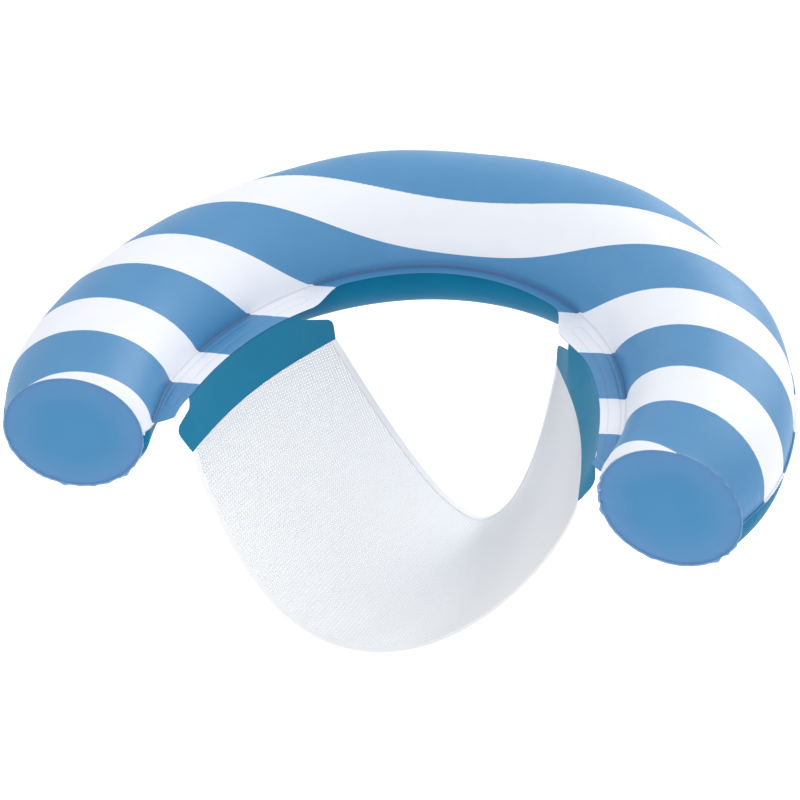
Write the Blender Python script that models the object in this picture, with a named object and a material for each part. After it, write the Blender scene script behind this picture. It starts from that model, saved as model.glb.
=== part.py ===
"""Inflatable pool chair: a U-shaped air tube floats round the sitter, and a mesh seat hangs between its arms.

Metres, +Z up. The origin is the middle of the U, in the plane of the welded seam. The backrest lies
towards +Y and the open front towards -Y. Left is -X and right is +X, as seen from the front.
"""

import math

import bmesh
import bpy
from mathutils import Matrix, Vector

# Air tube: its centreline is half an ellipse round the back and part of another along the arms
ARM_SPREAD = 0.430
BACK_REACH = 0.508
ARM_REACH = 0.374
ARM_SWEEP = math.radians(108)
END_FACE_TURN = math.radians(8)
END_FACE_START_SHARE = 0.84
BACK_RADIUS = 0.119
ARM_RADIUS = 0.104
END_RADIUS = 0.095
END_TUCK_SHARE = 0.12
HEIGHT_SHARE = 0.92

# Welded film: two panels meet at the seam plane, and every pair of neighbours keeps this gap
FILM = 0.0005
GAP = 0.0003
OUTER_LIP = 0.004
END_LIP = 0.004
END_FLARE = 0.003
END_DOME = 0.007

# Inner flange: narrow round the back, a wide web along each arm, narrow again before the end face
BACK_FLANGE = 0.018
WEB_REAR_WIDTH = 0.051
WEB_FRONT_WIDTH = 0.039
END_FLANGE = 0.007
WEB_REAR_START = math.radians(34)
WEB_REAR_END = math.radians(47)
WEB_FRONT_START = math.radians(100)
WEB_FRONT_END = math.radians(105)

# Seat header: the strip welded under each web, whose two ends run on free as tongues
HEADER_FILM = 0.0007
HEADER_TAB = 0.016
HEADER_WELD_FRONT = math.radians(91)
HEADER_WELD_REAR = math.radians(51)
FRONT_TONGUE = 0.0355
FRONT_TONGUE_INSET = 0.0112
REAR_TONGUE = 0.059
REAR_TONGUE_INSET = 0.0315
HEADER_BOW = 0.018
HEADER_DROP = 0.066
HEADER_REAR_DIP = 0.012
HEADER_ROW_SHARES = (0.0, 0.16, 0.5, 0.85, 1.0)
TONGUE_TOP_SHARE = 0.85
FRONT_TIP_SHARE = 0.58
REAR_TIP_SHARE = 0.40
CURL = 1.6

# Mesh seat: how far its front and rear edges sag, lean out and hang to one side
SEAT_MESH = 0.0010
SEAT_WELD = 0.010
FRONT_SAG = 0.240
REAR_SAG = 0.375
FRONT_LEAN = -0.087
REAR_LEAN = 0.100
FRONT_SHIFT = -0.021
REAR_SHIFT = 0.014
SAG_POWERS = (2.18, 1.82)
SAG_ROUNDINGS = (0.705, 1.015)
LEAN_POWERS = (1.31, 0.98)
HEM_DEPTH_SHARE = 0.028
HEM_TAPE = 0.0006
HEM_GAP = 0.0004

# Air valve, behind the backrest and just under the outer seam
VALVE_FLANGE_RADIUS = 0.0145
VALVE_FLANGE = 0.0008
STEM_RADIUS = 0.0065
NECK_RADIUS = 0.0057
BORE_RADIUS = 0.0045
STEM_OUTSIDE = 0.009
NECK_INSIDE = 0.004
RIM_RADIUS = 0.0075
RIM_DEPTH = 0.0015
HINGE_REACH = 0.014
HINGE_WIDTH = 0.006
CAP_RADIUS = 0.008
CAP_THICKNESS = 0.0016
PLUG_DEPTH = 0.006
PLUG_TAPER = 0.001
PULL_REACH = 0.012
PULL_WIDTH = 0.005
FLAP = 0.0006
FLAP_STRAP_WIDTH = 0.004

# How finely the curved pieces are divided; an odd number of steps leaves a flat facet for the valve
BACK_STEPS = 17
CORNER_STEPS = 4
WEB_STEPS = 13
TIP_STEPS = 3
END_STEPS = 2
ARC_STEPS = 10
DISC_RING_SHARES = (0.0, 0.45, 0.75, 1.0)
DISC_SIDES = 20
HEADER_STEPS = 9
SEAT_STEPS = 32
VALVE_SIDES = 24
SMOOTH_ANGLE = math.radians(35)
SMALL_SHARE = 0.001
HALVINGS = 30


def mix(start, end, share):
    """The value this share of the way from start to end."""
    return start + (end - start) * share


def between(value, start, end):
    """How far along start to end the value lies, as a share."""
    return (value - start) / (end - start)


def held(share):
    """The share kept to 0 and 1."""
    return min(max(share, 0.0), 1.0)


def eased(share):
    """The share kept to 0 and 1, with a level start and finish."""
    kept = held(share)
    return kept * kept * (3 - 2 * kept)


def steps_between(start, end, steps):
    """The values at the ends of this many equal steps, without the first."""
    return [mix(start, end, step / steps) for step in range(1, steps + 1)]


def tube_radius(angle):
    """Half the width of the tube at this angle round the U."""
    share = abs(angle) / ARM_SWEEP
    tuck = math.exp(-(((1 - share) / END_TUCK_SHARE) ** 2))
    return mix(BACK_RADIUS, ARM_RADIUS, share**2) - (ARM_RADIUS - END_RADIUS) * tuck


def section(angle):
    """The tube's centre at this angle round the U, and the level direction out of the U there."""
    turn = abs(angle)
    reach = BACK_REACH if turn < math.radians(90) else ARM_REACH
    facing = math.atan2(ARM_SPREAD * math.cos(turn), reach * math.sin(turn))
    end_share = between(turn / ARM_SWEEP, END_FACE_START_SHARE, 1)
    facing = mix(facing, -END_FACE_TURN, eased(end_share))
    sign = -1 if angle < 0 else 1
    centre = Vector((sign * ARM_SPREAD * math.sin(turn), reach * math.cos(turn), 0))
    return centre, Vector((sign * math.cos(facing), math.sin(facing), 0))


def end_direction(angle):
    """The level direction along the tube, towards the end face of its arm."""
    side = section(angle)[1]
    sign = math.copysign(1, angle)
    return Vector((sign * side.y, -sign * side.x, 0))


def flange_width(angle):
    """How far the welded inner flange reaches into the U from the tube's wall."""
    turn = abs(angle)
    web = mix(WEB_REAR_WIDTH, WEB_FRONT_WIDTH, held(between(turn, WEB_REAR_END, WEB_FRONT_START)))
    width = mix(BACK_FLANGE, web, eased(between(turn, WEB_REAR_START, WEB_REAR_END)))
    return mix(width, END_FLANGE, eased(between(turn, WEB_FRONT_START, WEB_FRONT_END)))


def flange_point(angle, inset):
    """A point on the seam plane, this far back from the inner edge of the flange."""
    centre, side = section(angle)
    return centre - side * (tube_radius(angle) + flange_width(angle) - inset)


def tube_stations():
    """Angles round the U at which the tube is divided, closest where the flange changes width."""
    right = steps_between(WEB_REAR_START, WEB_REAR_END, CORNER_STEPS)
    right += steps_between(WEB_REAR_END, WEB_FRONT_START, WEB_STEPS)
    right += steps_between(WEB_FRONT_START, WEB_FRONT_END, TIP_STEPS)
    right += steps_between(WEB_FRONT_END, ARM_SWEEP, END_STEPS)
    back = [-WEB_REAR_START] + steps_between(-WEB_REAR_START, WEB_REAR_START, BACK_STEPS)
    return [-turn for turn in reversed(right)] + back + right


def finish(name, colour, roughness):
    """A plain film, moulding or cloth of this colour."""
    material = bpy.data.materials.new(name)
    material.use_nodes = True
    shader = material.node_tree.nodes["Principled BSDF"]
    shader.inputs["Base Color"].default_value = (*colour, 1)
    shader.inputs["Roughness"].default_value = roughness
    shader.inputs["Metallic"].default_value = 0
    return material


def add_object(name, bm, material):
    """A shaded object made from the bmesh, which is freed."""
    mesh = bpy.data.meshes.new(name)
    bm.to_mesh(mesh)
    bm.free()
    if material:
        mesh.materials.append(material)
    mesh.shade_smooth()
    mesh.set_sharp_from_angle(angle=SMOOTH_ANGLE)
    made = bpy.data.objects.new(name, mesh)
    bpy.context.scene.collection.objects.link(made)
    return made


def thicken(made, thickness, offset):
    """Gives a sheet its thickness: offset 1 grows it outwards, 0 both ways."""
    solid = made.modifiers.new("film", "SOLIDIFY")
    solid.thickness = thickness
    solid.offset = offset
    solid.use_even_offset = True
    return made


def join_shape(made, other, operation):
    """Adds a hidden shape to the object, or cuts it away."""
    other.hide_render = True
    other.display_type = "WIRE"
    boolean = made.modifiers.new(other.name, "BOOLEAN")
    boolean.operation = operation
    boolean.object = other
    return made


def grid(columns, rows, place, keep=None):
    """A sheet of columns by rows of faces, with corner (column, row) at place(column, row).

    With keep given, only the faces for which keep(column, row) is true remain.
    """
    bm = bmesh.new()
    bmesh.ops.create_grid(bm, x_segments=columns, y_segments=rows, size=1)
    where = {v: (round((v.co.x + 1) / 2 * columns), round((v.co.y + 1) / 2 * rows)) for v in bm.verts}
    first = {f: (min(where[v][0] for v in f.verts), min(where[v][1] for v in f.verts)) for f in bm.faces}
    for vert, corner in where.items():
        vert.co = place(*corner)
    if keep:
        unwanted = [face for face, corner in first.items() if not keep(*corner)]
        bmesh.ops.delete(bm, geom=unwanted, context="FACES")
    return bm


def turned(bm, sides):
    """The surface swept by the bmesh's edges once round the Z axis."""
    geometry = bm.verts[:] + bm.edges[:]
    bmesh.ops.spin(
        bm, geom=geometry, cent=(0, 0, 0), axis=(0, 0, 1), angle=math.tau, steps=sides, use_merge=True
    )
    bmesh.ops.remove_doubles(bm, verts=bm.verts[:], dist=GAP * SMALL_SHARE)
    bmesh.ops.recalc_face_normals(bm, faces=bm.faces[:])
    return bm


def profile(points, closed):
    """Edges through the (radius, height) points, ready to be turned."""
    bm = bmesh.new()
    verts = [bm.verts.new((radius, 0, height)) for radius, height in points]
    for start, end in zip(verts, verts[1:]):
        bm.edges.new((start, end))
    if closed:
        bm.edges.new((verts[-1], verts[0]))
    return bm


def block(low, high):
    """A box between two opposite corners."""
    bm = bmesh.new()
    size = Vector(high) - Vector(low)
    middle = (Vector(high) + Vector(low)) / 2
    bmesh.ops.create_cube(bm, size=1, matrix=Matrix.Translation(middle) @ Matrix.Diagonal((*size, 1)))
    return bm


def panel_point(angle, row, flare, above):
    """A corner of the top panel (above 1) or bottom panel (above -1), from flange edge to outer lip.

    A flare of 1 puts it on the edge of the lip that is welded to the end disc.
    """
    centre, side = section(angle)
    radius = tube_radius(angle) + flare * END_LIP
    start = centre + end_direction(angle) * flare * END_FLARE + Vector((0, 0, above * GAP / 2))
    if row == 0:
        return start - side * (radius + flange_width(angle))
    if row == ARC_STEPS + 2:
        return start + side * (radius + OUTER_LIP)
    around = math.pi * (row - 1) / ARC_STEPS
    height = above * HEIGHT_SHARE * radius * math.sin(around)
    return start - side * radius * math.cos(around) + Vector((0, 0, height))


def add_panel(name, above, material):
    """One half of the tube's skin, with its share of the outer seam, the inner flange and the end lips."""
    stations = tube_stations()
    rings = [(stations[0], 1)] + [(angle, 0) for angle in stations] + [(stations[-1], 1)]

    def place(column, row):
        angle, flare = rings[column]
        return panel_point(angle, row, flare, above)

    bm = grid(len(rings) - 1, ARC_STEPS + 2, place)
    if above < 0:
        bmesh.ops.reverse_faces(bm, faces=bm.faces[:])
    return thicken(add_object(name, bm, material), FILM, 1)


def add_end_disc(name, angle, material):
    """The round face welded into the end of an arm, slightly domed by the air behind it."""
    centre, side = section(angle)
    outward = end_direction(angle)
    radius = tube_radius(angle)
    rings = [(radius * share, GAP + END_DOME * (1 - share**2)) for share in DISC_RING_SHARES]
    rings.append((radius + END_LIP, GAP + END_FLARE))
    bm = turned(profile(rings, closed=False), DISC_SIDES)
    for vert in bm.verts:
        rise = Vector((0, 0, vert.co.y * HEIGHT_SHARE))
        vert.co = centre + side * vert.co.x + rise + outward * vert.co.z
    bm.normal_update()
    if sum(face.normal.dot(outward) for face in bm.faces) < 0:
        bmesh.ops.reverse_faces(bm, faces=bm.faces[:])
    return thicken(add_object(name, bm, material), FILM, 1)


def header_low(share):
    """The right header's lower edge, from its front end (0) to its rear end (1)."""
    front = flange_point(HEADER_WELD_FRONT, 0) - Vector((FRONT_TONGUE_INSET, FRONT_TONGUE, HEADER_DROP))
    rear = flange_point(HEADER_WELD_REAR, 0) + Vector((-REAR_TONGUE_INSET, REAR_TONGUE, -HEADER_DROP))
    bow = Vector((HEADER_BOW * math.sin(math.pi * share), 0, -HEADER_REAR_DIP * share**2))
    return mix(front, rear, share) + bow


def header_share(angle):
    """How far along the header the flange edge at this angle lies."""
    return between(flange_point(angle, 0).y, header_low(0).y, header_low(1).y)


def weld_angle(share):
    """The angle round the U at which the header is welded, kept to the two ends of the weld."""
    front, rear = HEADER_WELD_FRONT, HEADER_WELD_REAR
    wanted = min(max(share, header_share(front)), header_share(rear))
    for _ in range(HALVINGS):
        middle = (front + rear) / 2
        if header_share(middle) < wanted:
            front = middle
        else:
            rear = middle
    return (front + rear) / 2


def tab_point(share, inset):
    """A point on the header's tab, under the flange and this far back from the flange's edge."""
    below = GAP / 2 + FILM + GAP + HEADER_FILM / 2
    return flange_point(weld_angle(share), inset) - Vector((0, 0, below))


def header_point(share, height_share):
    """A point on the right header, this share of the way up from its lower edge to the flange."""
    weld_share = min(max(share, header_share(HEADER_WELD_FRONT)), header_share(HEADER_WELD_REAR))
    lean = tab_point(share, 0) - header_low(weld_share)
    outwards = 1 - (1 - height_share) ** CURL
    return header_low(share) + Vector((lean.x * outwards, lean.y * outwards, lean.z * height_share))


def header_normal(share):
    """The direction out of the right header at its lower edge, away from the sitter."""
    up = header_point(share, SMALL_SHARE) - header_low(share)
    along = header_low(share + SMALL_SHARE) - header_low(share)
    return along.cross(up).normalized()


def seat_shares():
    """Where the header and the mesh seat are divided between front and rear: the hems and weld ends too."""
    front, rear = header_share(HEADER_WELD_FRONT), header_share(HEADER_WELD_REAR)
    hems = [HEM_DEPTH_SHARE, 1 - HEM_DEPTH_SHARE]
    return [0.0, hems[0], front] + steps_between(front, rear, HEADER_STEPS) + [hems[1], 1.0]


def tongue_height_share(share):
    """How much lower a free tongue stands here than beside the weld, where the share is 1."""
    front, rear = header_share(HEADER_WELD_FRONT), header_share(HEADER_WELD_REAR)
    to_front = held(between(share, front, 0))
    to_rear = held(between(share, rear, 1))
    lowest = FRONT_TIP_SHARE if to_front else REAR_TIP_SHARE
    return mix(1, lowest / TONGUE_TOP_SHARE, max(to_front, to_rear))


def mirrored(point, sign):
    """The point as it lies on the right (sign 1) or on the left (sign -1)."""
    return Vector((sign * point.x, point.y, point.z))


def add_header(name, sign, material):
    """The strip that carries one side of the seat, welded under the web and notched free at both ends."""
    shares = seat_shares()
    front, rear = header_share(HEADER_WELD_FRONT), header_share(HEADER_WELD_REAR)
    tab_row = len(HEADER_ROW_SHARES)
    tongue_row = HEADER_ROW_SHARES.index(TONGUE_TOP_SHARE)

    def place(column, row):
        share = shares[column]
        if row == tab_row:
            return mirrored(tab_point(share, HEADER_TAB), sign)
        height_share = HEADER_ROW_SHARES[row] * tongue_height_share(share)
        return mirrored(header_point(share, height_share), sign)

    def keep(column, row):
        middle = (shares[column] + shares[column + 1]) / 2
        return row < tongue_row or front < middle < rear

    bm = grid(len(shares) - 1, tab_row, place, keep)
    return thicken(add_object(name, bm, material), HEADER_FILM, 0)


def seat_point(across, share):
    """A point on the mesh seat: across runs from -1 at the left header to 1 at the right one."""
    edge = header_low(share)
    inside = 1 - across**2
    sag_power, sag_rounding = mix(*SAG_POWERS, share), mix(*SAG_ROUNDINGS, share)
    sag = mix(FRONT_SAG, REAR_SAG, share) * (1 - abs(across) ** sag_power) ** sag_rounding
    lean = mix(FRONT_LEAN, REAR_LEAN, share) * inside ** mix(*LEAN_POWERS, share)
    shift = mix(FRONT_SHIFT, REAR_SHIFT, share) * inside
    return Vector((edge.x * across + shift, edge.y + lean, edge.z - sag))


def seat_edge_point(sign, share, rise):
    """A point on the seat's welded edge, on the outer face of the header and this far up it."""
    clear = HEADER_FILM / 2 + GAP + SEAT_MESH / 2
    flange_rise = tab_point(share, 0).z - header_low(share).z
    return mirrored(header_point(share, rise / flange_rise) + header_normal(share) * clear, sign)


def across_shares():
    """Where the seat is divided from left to right, closest where it drops steeply at the sides."""
    return [math.sin(math.pi / 2 * mix(-1, 1, step / SEAT_STEPS)) for step in range(SEAT_STEPS + 1)]


def add_mesh_seat(name, material):
    """The hanging mesh, its side edges laid up the outer faces of the two headers."""
    shares = seat_shares()
    across = across_shares()

    def place(column, row):
        if column in (0, SEAT_STEPS + 2):
            return seat_edge_point(-1 if column == 0 else 1, shares[row], SEAT_WELD)
        if column in (1, SEAT_STEPS + 1):
            return seat_edge_point(across[column - 1], shares[row], 0)
        return seat_point(across[column - 1], shares[row])

    bm = grid(SEAT_STEPS + 2, len(shares) - 1, place)
    return thicken(add_object(name, bm, material), SEAT_MESH, 0)


def hem_ring(across, edge_share, inner_share):
    """The closed outline of the tape folded over the seat's edge, at this place from left to right."""
    edge, inner = seat_point(across, edge_share), seat_point(across, inner_share)
    inwards = (inner - edge).normalized()
    along = seat_point(across + SMALL_SHARE, edge_share) - seat_point(across - SMALL_SHARE, edge_share)
    normal = along.cross(inwards).normalized()
    depth = (inner - edge).length
    near = SEAT_MESH / 2 + HEM_GAP
    far = near + HEM_TAPE
    fold = -HEM_GAP - HEM_TAPE
    outline = ((depth, far), (fold, far), (fold, -far), (depth, -far))
    outline += ((depth, -near), (-HEM_GAP, -near), (-HEM_GAP, near), (depth, near))
    return [edge + inwards * reach + normal * height for reach, height in outline]


def add_hem(name, edge_share, inner_share, material):
    """The binding tape folded over the front or rear edge of the mesh."""
    rings = [hem_ring(share, edge_share, inner_share) for share in across_shares()[1:-1]]
    sides = len(rings[0])
    bm = grid(len(rings) - 1, sides, lambda column, row: rings[column][row % sides])
    bmesh.ops.remove_doubles(bm, verts=bm.verts[:], dist=GAP * SMALL_SHARE)
    bmesh.ops.holes_fill(bm, edges=bm.edges[:], sides=0)
    bmesh.ops.triangulate(bm, faces=[face for face in bm.faces if len(face.verts) > 4])
    bmesh.ops.recalc_face_normals(bm, faces=bm.faces[:])
    return add_object(name, bm, material)


def valve_frame():
    """The valve's own axes: its flange lies on a flat facet of the bottom panel, and Z points outwards.

    X points up the facet, towards the outer seam, where the hinges are.
    """
    right = WEB_REAR_START / BACK_STEPS
    rows = (ARC_STEPS, ARC_STEPS + 1)
    corners = [panel_point(angle, row, 0, -1) for angle in (-right, right) for row in rows]
    up = (corners[1] + corners[3] - corners[0] - corners[2]).normalized()
    sideways = (corners[2] + corners[3] - corners[0] - corners[1]).normalized()
    outward = up.cross(sideways).normalized()
    middle = sum(corners, Vector()) / len(corners)
    origin = middle + outward * (FILM + GAP)
    return Matrix.Translation(origin) @ Matrix((up, sideways, outward)).transposed().to_4x4()


def add_valve_piece(name, bm, pivot, material):
    """A piece of the valve, with its origin at the pivot given in the valve's axes."""
    bmesh.ops.translate(bm, verts=bm.verts[:], vec=-Vector(pivot))
    made = add_object(name, bm, material)
    made.matrix_world = valve_frame() @ Matrix.Translation(pivot)
    return made


def cut_valve_hole(panel):
    """Cuts the hole in the bottom panel through which the neck of the valve passes."""
    radius = NECK_RADIUS + GAP
    points = [(0, -NECK_INSIDE), (radius, -NECK_INSIDE), (radius, NECK_INSIDE), (0, NECK_INSIDE)]
    bm = turned(profile(points, closed=False), VALVE_SIDES)
    join_shape(panel, add_valve_piece("valve_hole_cutter", bm, (0, 0, 0), None), "DIFFERENCE")


def add_valve_body(material):
    """The moulded flange, stem and neck, with a ledge that carries the plug's hinge."""
    outline = [(BORE_RADIUS, -NECK_INSIDE), (NECK_RADIUS, -NECK_INSIDE), (NECK_RADIUS, 0)]
    outline += [(VALVE_FLANGE_RADIUS, 0), (VALVE_FLANGE_RADIUS, VALVE_FLANGE), (STEM_RADIUS, VALVE_FLANGE)]
    outline += [(STEM_RADIUS, STEM_OUTSIDE - RIM_DEPTH), (RIM_RADIUS, STEM_OUTSIDE - RIM_DEPTH)]
    outline += [(RIM_RADIUS, STEM_OUTSIDE), (BORE_RADIUS, STEM_OUTSIDE)]
    bm = turned(profile(outline, closed=True), VALVE_SIDES)
    body = add_valve_piece("valve_body", bm, (0, 0, 0), material)
    middle = (STEM_RADIUS + BORE_RADIUS) / 2
    low = (middle, -HINGE_WIDTH / 2, STEM_OUTSIDE - RIM_DEPTH)
    high = (HINGE_REACH, HINGE_WIDTH / 2, STEM_OUTSIDE)
    ledge = add_valve_piece("valve_ledge", block(low, high), (0, 0, 0), None)
    return join_shape(body, ledge, "UNION")


def add_valve_plug(material):
    """The tapered plug under its cap, with the strap it swings on and a tab to pull it by."""
    pivot = (HINGE_REACH, 0, STEM_OUTSIDE + GAP / 2)
    low, high = STEM_OUTSIDE + GAP, STEM_OUTSIDE + GAP + CAP_THICKNESS
    fit = BORE_RADIUS - GAP
    tip = STEM_OUTSIDE - PLUG_DEPTH
    outline = [(0, tip), (fit - PLUG_TAPER, tip), (fit, STEM_OUTSIDE), (fit, low)]
    outline += [(CAP_RADIUS, low), (CAP_RADIUS, high), (0, high)]
    bm = turned(profile(outline, closed=False), VALVE_SIDES)
    plug = add_valve_piece("valve_plug", bm, pivot, material)
    strap = block((0, -HINGE_WIDTH / 2, low), (HINGE_REACH, HINGE_WIDTH / 2, high))
    pull = block((-PULL_REACH, -PULL_WIDTH / 2, low), (0, PULL_WIDTH / 2, high))
    join_shape(plug, add_valve_piece("plug_strap", strap, pivot, None), "UNION")
    return join_shape(plug, add_valve_piece("plug_pull_tab", pull, pivot, None), "UNION")


def add_check_flap(material):
    """The flap that closes the inner end of the neck and opens into the tube."""
    pivot = (NECK_RADIUS, 0, -NECK_INSIDE - GAP / 2)
    high = -NECK_INSIDE - GAP
    low = high - FLAP
    outline = [(0, low), (NECK_RADIUS, low), (NECK_RADIUS, high), (0, high)]
    bm = turned(profile(outline, closed=False), VALVE_SIDES)
    flap = add_valve_piece("valve_check_flap", bm, pivot, material)
    strap = block((0, -FLAP_STRAP_WIDTH / 2, low), (NECK_RADIUS, FLAP_STRAP_WIDTH / 2, high))
    return join_shape(flap, add_valve_piece("flap_strap", strap, pivot, None), "UNION")


def main():
    """Builds the chair in an empty scene."""
    for old in list(bpy.data.objects):
        bpy.data.objects.remove(old)
    blue = finish("blue_film", (0.10, 0.28, 0.50), 0.35)
    teal = finish("teal_film", (0.02, 0.16, 0.30), 0.38)
    white = finish("white_mesh", (0.80, 0.82, 0.86), 0.65)
    tape = finish("white_tape", (0.86, 0.87, 0.90), 0.60)
    clear = finish("clear_moulding", (0.62, 0.70, 0.76), 0.25)
    add_panel("tube_top_panel", 1, blue)
    cut_valve_hole(add_panel("tube_bottom_panel", -1, teal))
    for side, sign in (("left", -1), ("right", 1)):
        add_end_disc(f"{side}_end_disc", sign * ARM_SWEEP, blue)
        add_header(f"{side}_seat_header", sign, teal)
    add_mesh_seat("mesh_seat", white)
    add_hem("front_hem_binding", 0, HEM_DEPTH_SHARE, tape)
    add_hem("rear_hem_binding", 1, 1 - HEM_DEPTH_SHARE, tape)
    add_valve_body(clear)
    add_valve_plug(clear)
    add_check_flap(clear)


main()
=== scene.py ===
"""Looks of the inflatable pool chair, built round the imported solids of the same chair.

Metres, +Z up, in the frame of the solids: the origin is the middle of the U in the plane of the
welded seam, the backrest lies towards +Y and the open front towards -Y. Left is -X and right is +X.
"""

import logging
import math
from collections.abc import Callable
from dataclasses import dataclass
from enum import Enum
from functools import lru_cache
from typing import TypeVar

import bmesh
import bpy
from bmesh.types import BMesh
from bpy.types import Material, Node, NodeSocket, NodeTree, Object
from mathutils import Matrix, Vector


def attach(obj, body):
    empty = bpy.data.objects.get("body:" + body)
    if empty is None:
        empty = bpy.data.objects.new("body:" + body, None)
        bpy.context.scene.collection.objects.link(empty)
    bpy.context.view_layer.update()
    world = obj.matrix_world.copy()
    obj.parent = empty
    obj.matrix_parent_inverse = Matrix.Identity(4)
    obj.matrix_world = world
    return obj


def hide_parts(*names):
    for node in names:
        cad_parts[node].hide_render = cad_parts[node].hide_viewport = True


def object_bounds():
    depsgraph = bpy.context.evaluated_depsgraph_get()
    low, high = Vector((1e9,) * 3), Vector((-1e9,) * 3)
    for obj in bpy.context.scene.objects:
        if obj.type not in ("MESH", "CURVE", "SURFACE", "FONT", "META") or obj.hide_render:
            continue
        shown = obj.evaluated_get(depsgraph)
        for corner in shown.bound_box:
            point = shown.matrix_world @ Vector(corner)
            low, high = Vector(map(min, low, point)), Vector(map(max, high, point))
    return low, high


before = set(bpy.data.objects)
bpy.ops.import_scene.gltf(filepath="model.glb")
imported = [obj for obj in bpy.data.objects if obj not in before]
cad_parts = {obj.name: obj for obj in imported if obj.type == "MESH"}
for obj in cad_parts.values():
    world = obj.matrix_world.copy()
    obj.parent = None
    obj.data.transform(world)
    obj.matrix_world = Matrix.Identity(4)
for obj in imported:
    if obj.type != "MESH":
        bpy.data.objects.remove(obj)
CAD_LOW, CAD_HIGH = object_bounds()

LOG = logging.getLogger("pool_chair")
Quantity = TypeVar("Quantity", float, Vector)
# Every new piece rides on this body; the solids of the valve ride on their own already.
CHAIR_BODY = "chair"
STRIPE_ATTRIBUTE = "stripe_phase"
WELD_ATTRIBUTE = "weld_apart"
CREASE_ATTRIBUTE = "crease_apart"
RIM_ATTRIBUTE = "rim_apart"
CLOTH_UV = "cloth"
MM = 0.001
NUDGE = 0.001
MERGE_DISTANCE = 0.000001
SMOOTH_ANGLE = math.radians(40)
# A Wave texture of scale 1 repeats its bands at this distance.
BAND_PERIOD = math.tau / 20


class Slot(Enum):
    """The finishes of the record."""

    BLUE = "blue_film"
    TEAL = "teal_film"
    MESH = "white_mesh"
    TAPE = "white_tape"


class Side(Enum):
    """The two arms of the chair; the value is the sign of X."""

    LEFT = -1
    RIGHT = 1


class Zone(Enum):
    """The zones of a tube panel from the inner flange out to the lip of the outer seam."""

    WEB = "web"
    FOLD = "fold"
    WALL = "wall"
    LIP = "lip"


# Small sums and mesh helpers


def mix(start: Quantity, end: Quantity, share: float) -> Quantity:
    """The value this share of the way from start to end, for numbers and for points."""
    return start + (end - start) * share


def between(value: float, start: float, end: float) -> float:
    """How far along start to end the value lies, as a share."""
    return (value - start) / (end - start)


def held(share: float) -> float:
    """The share kept to 0 and 1."""
    return min(max(share, 0.0), 1.0)


def eased(share: float) -> float:
    """The share kept to 0 and 1, with a level start and finish."""
    kept = held(share)
    return kept * kept * (3 - 2 * kept)


def rounded(share: float) -> float:
    """The share kept to 0 and 1, rising as a quarter of a circle does, steep at first."""
    return math.sqrt(held(1 - (1 - held(share)) ** 2))


def fading(distance: float, reach: float) -> float:
    """A weight that falls from 1 to nothing over about twice this reach."""
    return math.exp(-((distance / reach) ** 2))


def mirrored(point: Vector, side: Side) -> Vector:
    """A point of the right arm as it lies on the given side."""
    return Vector((side.value * point.x, point.y, point.z))


def crowded(steps: int, limit: float = 1.0) -> list[float]:
    """Places from about -1 to 1, closer towards both ends, which a limit under 1 draws in."""
    return [math.sin(math.pi / 2 * mix(-limit, limit, step / steps)) for step in range(steps + 1)]


def sheet_grid(
    columns: int, rows: int, place: Callable[[int, int], Vector]
) -> tuple[BMesh, list[tuple[int, int]]]:
    """Makes a sheet of columns by rows of faces.

    Args:
        columns: faces along the sheet.
        rows: faces across the sheet.
        place: gives the point of corner (column, row).

    Returns:
        The bmesh, and for each vertex in order the corner that it is.
    """
    bm = bmesh.new()
    bmesh.ops.create_grid(bm, x_segments=columns, y_segments=rows, size=1)
    bm.verts.index_update()
    corners = [
        (round((vert.co.x + 1) / 2 * columns), round((vert.co.y + 1) / 2 * rows))
        for vert in bm.verts
    ]
    for vert, corner in zip(bm.verts, corners):
        vert.co = place(*corner)
    return bm, corners


def map_cloth(
    bm: BMesh, corners: list[tuple[int, int]], flat: Callable[[int, int], tuple[float, float]]
) -> None:
    """Gives a sheet the flat map in metres that its weave follows.

    Args:
        bm: the sheet.
        corners: for each vertex in order, the corner that it is.
        flat: gives the place on the flat cloth of corner (column, row).
    """
    layer = bm.loops.layers.uv.new(CLOTH_UV)
    for face in bm.faces:
        for loop in face.loops:
            loop[layer].uv = flat(*corners[loop.vert.index])


def turned(points: list[tuple[float, float]], sides: int) -> BMesh:
    """Turns an open profile once round the Z axis.

    Args:
        points: the profile's (radius, height) points in order.
        sides: steps of the full turn.

    Returns:
        The turned surface, its faces pointing outwards.
    """
    bm = bmesh.new()
    verts = [bm.verts.new((radius, 0, height)) for radius, height in points]
    for pair in zip(verts, verts[1:]):
        bm.edges.new(pair)
    bmesh.ops.spin(
        bm,
        geom=bm.verts[:] + bm.edges[:],
        cent=(0, 0, 0),
        axis=(0, 0, 1),
        angle=math.tau,
        steps=sides,
        use_merge=True,
    )
    bmesh.ops.remove_doubles(bm, verts=bm.verts[:], dist=MERGE_DISTANCE)
    bmesh.ops.recalc_face_normals(bm, faces=bm.faces[:])
    return bm


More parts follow.
